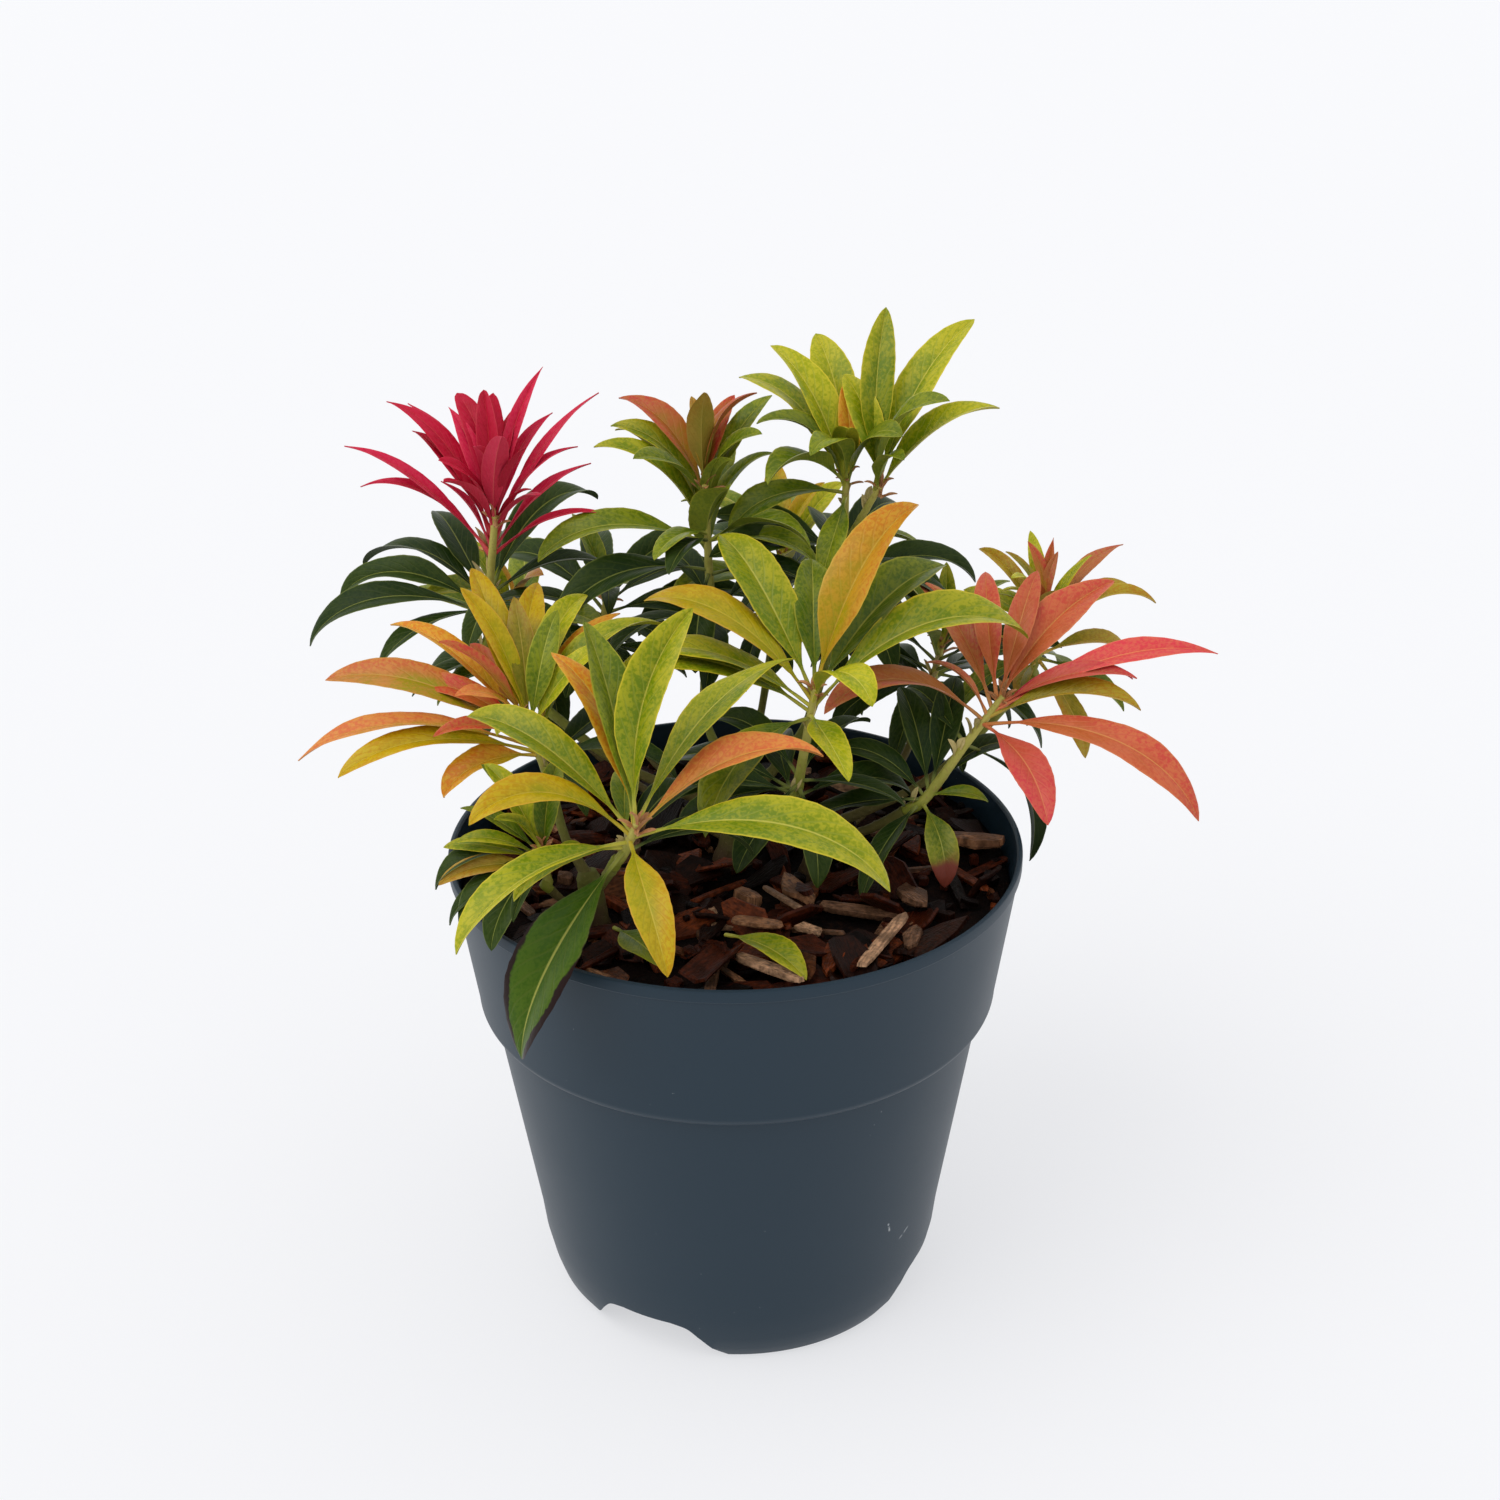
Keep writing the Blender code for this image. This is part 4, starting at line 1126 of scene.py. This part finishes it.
def leaf_piece(name, leaves, tints):
    """One mesh of many leaves, each (root, row, width, tint, stations). A leaf's material
    is its tint's. It lies alone in its cell of the bake's map, and its own map, blade, has
    its length along U and its width across V."""
    points, faces, slots, bake, blade, seeds, unders = [], [], [], [], [], [], []
    columns = math.ceil(math.sqrt(len(leaves)))
    draw = random.Random(name)
    for index, (root, row, width, tint, stations) in enumerate(leaves):
        fullness = 1.1 if width < 0.2 * row[2] else 0.5 if tint in BLUNT_TINTS else 0.7
        shape, share, t = leaf_points(root, row, width, fullness, draw, stations)
        ring = len(t)
        first = len(points)
        points += [tuple(point) for point in shape]
        seeds += [draw.random()] * len(shape)
        cell = (index % columns, index // columns)
        for face, top in zip(*leaf_faces(stations, ring)):
            faces.append(tuple(first + corner for corner in face))
            slots.append(tints.index(tint))
            for corner in face:
                along, over = share[corner // ring], t[corner % ring]
                spot = (0.04 + 0.92 * along, (0.25 if top else 0.75) + 0.22 * over)
                bake.append(((cell[0] + spot[0]) / columns, (cell[1] + spot[1]) / columns))
                blade.append((along, 0.5 + 0.5 * over))
                unders.append(0.0 if top else 1.0)
    piece = solid(name, points, faces)
    mesh = piece.data
    for tint in tints:
        mesh.materials.append(LEAF_FINISHES[tint])
    mesh.polygons.foreach_set("material_index", slots)
    give_map(mesh, "OFBake", bake)
    give_map(mesh, "blade", blade)
    mesh.attributes.new("seed", "FLOAT", "POINT").data.foreach_set("value", seeds)
    mesh.attributes.new("underside", "FLOAT", "CORNER").data.foreach_set("value", unders)
    mesh.set_sharp_from_angle(angle=math.radians(50))
    return piece


# Each tint's colours: the young part near the petiole, the blush, where along the leaf the
# blush begins and ends, the flecks between the veins, the midrib and the margin.
TINTS = {
    "dark": ((0.012, 0.031, 0.004), (0.022, 0.044, 0.005), 0.2, 0.9,
        (0.036, 0.06, 0.008), (0.24, 0.27, 0.06), (0.14, 0.17, 0.035)),
    "singed": ((0.07, 0.13, 0.003), (0.19, 0.22, 0.004), 0.1, 0.6,
        (0.3, 0.3, 0.02), (0.4, 0.4, 0.06), (0.38, 0.36, 0.03)),
    "green": ((0.07, 0.13, 0.003), (0.12, 0.165, 0.004), 0.2, 0.9,
        (0.24, 0.27, 0.012), (0.4, 0.4, 0.06), (0.38, 0.36, 0.03)),
    "lime": ((0.15, 0.225, 0.002), (0.32, 0.34, 0.002), 0.3, 0.95,
        (0.5, 0.45, 0.02), (0.56, 0.52, 0.08), (0.64, 0.52, 0.03)),
    "yellow": ((0.33, 0.32, 0.002), (0.54, 0.29, 0.002), 0.15, 0.85,
        (0.58, 0.43, 0.012), (0.62, 0.48, 0.05), (0.66, 0.36, 0.03)),
    "orange": ((0.36, 0.31, 0.003), (0.62, 0.19, 0.008), 0.05, 0.7,
        (0.66, 0.36, 0.025), (0.66, 0.44, 0.06), (0.64, 0.4, 0.04)),
    "peach": ((0.38, 0.33, 0.004), (0.68, 0.16, 0.045), 0.1, 0.7,
        (0.72, 0.3, 0.06), (0.68, 0.4, 0.08), (0.68, 0.34, 0.06)),
    "rust": ((0.36, 0.2, 0.01), (0.54, 0.05, 0.03), 0.1, 0.75,
        (0.52, 0.16, 0.035), (0.58, 0.26, 0.07), (0.56, 0.2, 0.06)),
    "bronze": ((0.24, 0.21, 0.01), (0.36, 0.17, 0.012), 0.2, 0.8,
        (0.4, 0.27, 0.03), (0.46, 0.34, 0.06), (0.48, 0.26, 0.05)),
    "olive": ((0.19, 0.19, 0.004), (0.38, 0.19, 0.008), 0.2, 0.9,
        (0.38, 0.3, 0.02), (0.5, 0.36, 0.06), (0.5, 0.3, 0.05)),
    "copper": ((0.45, 0.15, 0.035), (0.54, 0.1, 0.055), 0.1, 0.8,
        (0.52, 0.21, 0.06), (0.56, 0.27, 0.08), (0.58, 0.23, 0.07)),
    "salmon": ((0.52, 0.12, 0.03), (0.6, 0.07, 0.045), 0.1, 0.8,
        (0.64, 0.17, 0.06), (0.68, 0.28, 0.08), (0.68, 0.22, 0.08)),
    "coral": ((0.56, 0.085, 0.04), (0.64, 0.045, 0.06), 0.1, 0.8,
        (0.66, 0.12, 0.07), (0.72, 0.24, 0.09), (0.7, 0.16, 0.09)),
    "crimson": ((0.48, 0.008, 0.036), (0.58, 0.01, 0.055), 0.1, 0.9,
        (0.62, 0.03, 0.075), (0.64, 0.11, 0.1), (0.66, 0.06, 0.09)),
    "carmine": ((0.39, 0.004, 0.022), (0.52, 0.006, 0.034), 0.1, 0.9,
        (0.56, 0.014, 0.05), (0.6, 0.05, 0.06), (0.6, 0.04, 0.06)),
    "scorched": ((0.04, 0.095, 0.004), (0.055, 0.11, 0.005), 0.2, 0.9,
        (0.08, 0.14, 0.01), (0.38, 0.38, 0.08), (0.09, 0.12, 0.02)),
    "scale": ((0.4, 0.17, 0.06), (0.5, 0.22, 0.09), 0.2, 0.9,
        (0.52, 0.26, 0.11), (0.52, 0.28, 0.12), (0.48, 0.2, 0.08)),
    "straw": ((0.4, 0.34, 0.12), (0.5, 0.4, 0.16), 0.2, 0.9,
        (0.56, 0.46, 0.2), (0.56, 0.46, 0.18), (0.5, 0.36, 0.14)),
}
SCORCH = (0.016, 0.006, 0.005)
SHEEN = {"scorched": 0.08, "crimson": 0.12, "carmine": 0.12, "dark": 0.12}
VEINS = 11.0


def leaf_finish(tint):
    base, blush, begins, ends, fleck, rib, margin = TINTS[tint]
    finish, shader, start = new_finish("leaf_" + tint)
    place = start.node("TexCoord", output=3)
    along = start.node("SeparateXYZ", None, {0: start.node("UVMap", {"uv_map": "blade"})})
    rightward = along.other(1) * 2.0 - 1.0
    across = abs(rightward)
    seed = start.node("Attribute", {"attribute_name": "seed"}, output=2)
    lopsided = start.math("FRACT", seed * 7.3) - 0.5
    under = start.node("Attribute", {"attribute_name": "underside"}, output=2)
    cloud = start.grain(place, 150.0, 3.0)
    cells = start.grain(place, 900.0, 4.0)
    ripple = start.math("FRACT", along * VEINS - across * 2.6 + cloud * 0.5)
    vein = (1 - abs(ripple - 0.5).step(0.0, 0.16)) * (1 - across.step(0.55, 0.95))
    drift = (cloud - 0.5) * 0.6 + (seed - 0.5) * 0.4 + rightward * lopsided * 0.8
    blushed = (along * 0.85 + across * 0.3 + drift - 0.08).step(begins, ends)
    skin = blushed.mix(base, blush)
    flecked = (cells * 0.7 + cloud * 0.4).step(0.46, 0.62) * (1 - vein) * 0.8
    skin = (flecked * (blushed * 0.5 + 0.5)).mix(skin, fleck)
    skin = (vein * (0.08 if tint in ("dark", "scorched") else 0.2)).mix(skin, rib)
    skin = (across.step(0.90, 0.98) * 0.85).mix(skin, margin)
    ridge = 1 - (across * (along * 0.7 + 0.75)).step(0.015, 0.06)
    petiole = 1 - along.step(0.07, 0.18)
    skin = (start.math("MAXIMUM", ridge * 0.85, petiole * 0.8)).mix(skin, rib)
    skin = (under * 0.35).mix(skin, tuple(c * 0.75 + 0.03 for c in fleck))
    skin = skin.brighter(seed * 0.3 + 0.85)
    if tint == "scorched":
        burnt = (across * 0.75 + along * 0.5 + (cloud - 0.5) * 0.3).step(0.91, 0.95)
        skin = burnt.mix(skin, SCORCH)
    if tint == "singed":
        tip = (along + (cloud - 0.5) * 0.3).step(0.60, 0.80)
        skin = tip.mix(skin, (0.170, 0.035, 0.020))
    wire(
        shader,
        Specular_IOR_Level=SHEEN.get(tint, 0.22),
        Base_Color=skin,
        Roughness=under * 0.2 + cells * 0.12 + (0.27 if tint != "dark" else 0.30),
        Normal=(cells * 0.35 - vein * 0.5 - ridge * 0.4 + cloud * 0.8).bump(0.35, 0.0004),
    )
    return finish


LEAF_FINISHES = {tint: leaf_finish(tint) for tint in TINTS}


def young_twig():
    """Green skin that pales towards the twig's tip, with corky flecks."""
    finish, shader, start = new_finish("young_twig")
    place = start.node("TexCoord", output=3)
    age = start.node("Attribute", {"attribute_name": "young"}, output=2)
    patches = start.grain(place, 220.0, 4.0)
    flecks = start.grain(place, 1000.0, 3.0)
    paler = (age + (patches - 0.5) * 0.6).step(0.1, 0.9)
    skin = paler.mix((0.200, 0.220, 0.022), (0.480, 0.430, 0.100))
    wire(
        shader,
        Base_Color=(flecks.step(0.58, 0.70) * 0.5).mix(skin, (0.260, 0.150, 0.060)),
        Roughness=flecks * 0.2 + 0.45,
        Normal=(patches + flecks * 0.5).bump(0.6, 0.0005),
        Specular_IOR_Level=0.18,
    )
    return finish


YOUNG_TWIG = young_twig()


def bud_scales(path, whorls, seed):
    """The small dry scales round the bud at a twig's tip, and the straw-coloured bracts
    that stand along it below each whorl."""
    draw = random.Random(seed)
    rows = []
    for rank in range(BUD_SCALES):
        rise = 15 + 7 * rank + draw.uniform(-8, 8)
        row = (GOLDEN_ANGLE * rank, rise, draw.uniform(4.5, 8.0), draw.uniform(-20, 50))
        root = path[-1] - Vector((0.0, 0.0, 4.0 - 0.4 * rank))
        rows.append((root, row, draw.uniform(1.6, 2.6), "scale", 8))
    for below, leaves in whorls:
        foot = below + LEAF_SPACING * len(leaves)
        for rank in range(5 if "red" in seed else 2):
            root = spot_below_tip(path, foot + 1.0 + 3.0 * rank + draw.uniform(0, 2.0))
            heading = GOLDEN_ANGLE * rank + draw.uniform(0, 40)
            long = draw.uniform(11, 20) if "red" in seed else draw.uniform(5, 9)
            row = (heading, draw.uniform(64, 82), long, draw.uniform(-20, 10))
            rows.append((root, row, draw.uniform(3.0, 4.4), "straw", 10))
    return rows


def leaf_width(row, ratio):
    """A leaf's width: its length times its own share where its row has one."""
    return row[2] * (row[5] if len(row) > 5 else ratio)


def within_mass(name, root, row):
    """The row, with its leaf shortened until its tip is in or near the box of the solid's
    mass, or until it is as short as a leaf may be."""
    low, high = (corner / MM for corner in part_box(name))
    heading, rise, length, droop, *rest = row
    while length > SHORTEST_LEAF:
        tip = midrib(root, heading, rise, length, droop, SOLID_STATIONS)[-1]
        if all(low[i] - BOX_SLACK < tip[i] < high[i] + BOX_SLACK for i in range(3)):
            break
        length *= 0.94
    return (heading, rise, length, droop, *rest)


def grow_shoot(name, points, ratio, whorls):
    """The shoot's leaves as one piece and its twigs as another."""
    twigs = [(shoot_path(name, points), whorls, BOUGHS[name][5])]
    if name == SIDE_TWIG[0]:
        twigs.append((bend(SIDE_TWIG[1], 4), [SIDE_WHORL], SIDE_TWIG_RADIUS))
    node = frame["nodes"]["foliage_" + name]
    corners = KDTree(len(node.data.vertices))
    for index, vertex in enumerate(node.data.vertices):
        corners.insert(vertex.co, index)
    corners.balance()
    leaves, wood_points, wood_faces, ages = [], [], [], []
    for path, rings, foot_radius in twigs:
        foot_radius *= LIMB_SHARE
        steps = range(TWIG_STEPS + 1)
        radii = [foot_radius + (TWIG_TIP_RADIUS - foot_radius) * i / TWIG_STEPS for i in steps]
        more, faces = sweep(bend(path, TWIG_STEPS), radii, TWIG_SIDES, twig_relief)
        ages += [i / TWIG_STEPS for i in steps for _ in range(TWIG_SIDES)]
        first = len(wood_points)
        wood_points += more
        wood_faces += [tuple(first + corner for corner in face) for face in faces]
        for below, rows in rings:
            for rank, row in enumerate(rows):
                root = spot_below_tip(path, below + LEAF_SPACING * (len(rows) - 1 - rank))
                turn = held_turn(corners, root, row)
                if turn is None:
                    continue
                held = (row[0] + turn, *row[1:4])
                leaves.append((root, held, leaf_width(row, ratio), row[4], STATIONS))
        leaves += bud_scales(path, rings, "foliage_" + name)
    for below, rows in EXTRA_LEAVES.get(name, []):
        for rank, row in enumerate(rows):
            root = spot_below_tip(twigs[0][0], below + LEAF_SPACING * rank)
            if row is not HANGING:
                row = within_mass("foliage_" + name, root, row)
            leaves.append((root, row[:4], leaf_width(row, ratio), row[4], STATIONS))
    tints = sorted({leaf[3] for leaf in leaves})
    blades = leaf_piece(name + "_leaves", leaves, tints)
    twig = solid(name + "_twigs", wood_points, wood_faces)
    twig.data.attributes.new("young", "FLOAT", "POINT").data.foreach_set("value", ages)
    twig.data.materials.append(YOUNG_TWIG)
    return blades, twig


slots = {part["node"]: part["material_slot"] for part in frame["record"]["subparts"]}
for name, (points, ratio, whorls) in SHOOTS.items():
    blades, twig = grow_shoot(name, points, ratio, whorls)
    for piece in (blades, twig):
        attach(piece, "root")
    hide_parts("foliage_" + name)
    slots["foliage_" + name]

# Two leaves that have dropped lie on the mulch at the front of the pot.
FALLEN_LEVEL = 161.5
FALLEN = [
    (Vector((-3, -57, FALLEN_LEVEL)), (313, -1, 36, 4), 13.0, "lime", STATIONS),
    (Vector((-38, -52, FALLEN_LEVEL)), (305, -2, 28, 4), 15.0, "green", STATIONS),
]
fallen = leaf_piece("fallen_leaves", FALLEN, ["green", "lime"])
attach(fallen, "root")

# The studio is a wide pale lit table under a soft key light from the upper left and a
# white surround that is dimmer on the camera's side. The camera looks down on the plant
# from where the photograph was taken.
CAMERA_TARGET = Vector((0.0051, 0.0, 0.1976))
CAMERA_DISTANCE = 0.815
CAMERA_PITCH = math.radians(26.24)
CAMERA_ROLL = math.radians(-0.51)
CAMERA_LENS = 60.0
FLOOR_SIZE = 12.0


def studio_floor():
    mesh = bpy.data.meshes.new("studio_floor")
    reach = FLOOR_SIZE / 2
    corners = [(-reach, -reach, 0), (reach, -reach, 0), (reach, reach, 0), (-reach, reach, 0)]
    mesh.from_pydata(corners, [], [(0, 1, 2, 3)])
    finish, shader, _ = new_finish("pale_floor")
    wire(
        shader,
        Base_Color=(0.33, 0.332, 0.338, 1.0),
        Roughness=0.9,
        Specular_IOR_Level=0.1,
        Emission_Color=(0.59, 0.594, 0.61, 1.0),
        Emission_Strength=1.0,
    )
    mesh.materials.append(finish)
    return put("studio_floor", mesh)


floor = studio_floor()
sun = bpy.data.lights.new("soft_key", "SUN")
sun.energy = 1.0
sun.angle = math.radians(50)
sun.color = (1.0, 0.985, 0.96)
key = put("soft_key", sun)
key.rotation_euler = Vector((0.55, 0.35, -0.9)).to_track_quat("-Z", "Y").to_euler()

world = bpy.data.worlds.new("white_surround")
world.use_nodes = True
surround = world.node_tree.nodes["Background"]
sky = Link(world.node_tree)
aim = sky.node("SeparateXYZ", None, {0: sky.node("TexCoord")})
away = aim.other(1).step(-0.95, -0.3)
overhead = aim.other(2).step(0.1, 0.6)
bright = sky.math("MAXIMUM", away, overhead)
wire(surround, Color=bright.mix((0.40, 0.41, 0.43), (0.98, 0.985, 1.0)), Strength=0.84)
bpy.context.scene.world = world
bpy.context.scene.view_settings.view_transform = "Standard"

camera = put("camera", bpy.data.cameras.new("camera"))
camera.data.lens = CAMERA_LENS
camera.data.sensor_width = 36.0
look = Vector((0.0, math.cos(CAMERA_PITCH), -math.sin(CAMERA_PITCH)))
camera.location = CAMERA_TARGET - look * CAMERA_DISTANCE
camera.rotation_euler = (math.pi / 2 - CAMERA_PITCH, 0.0, 0.0)
camera.rotation_euler.rotate_axis("Z", CAMERA_ROLL)
bpy.context.scene.camera = camera
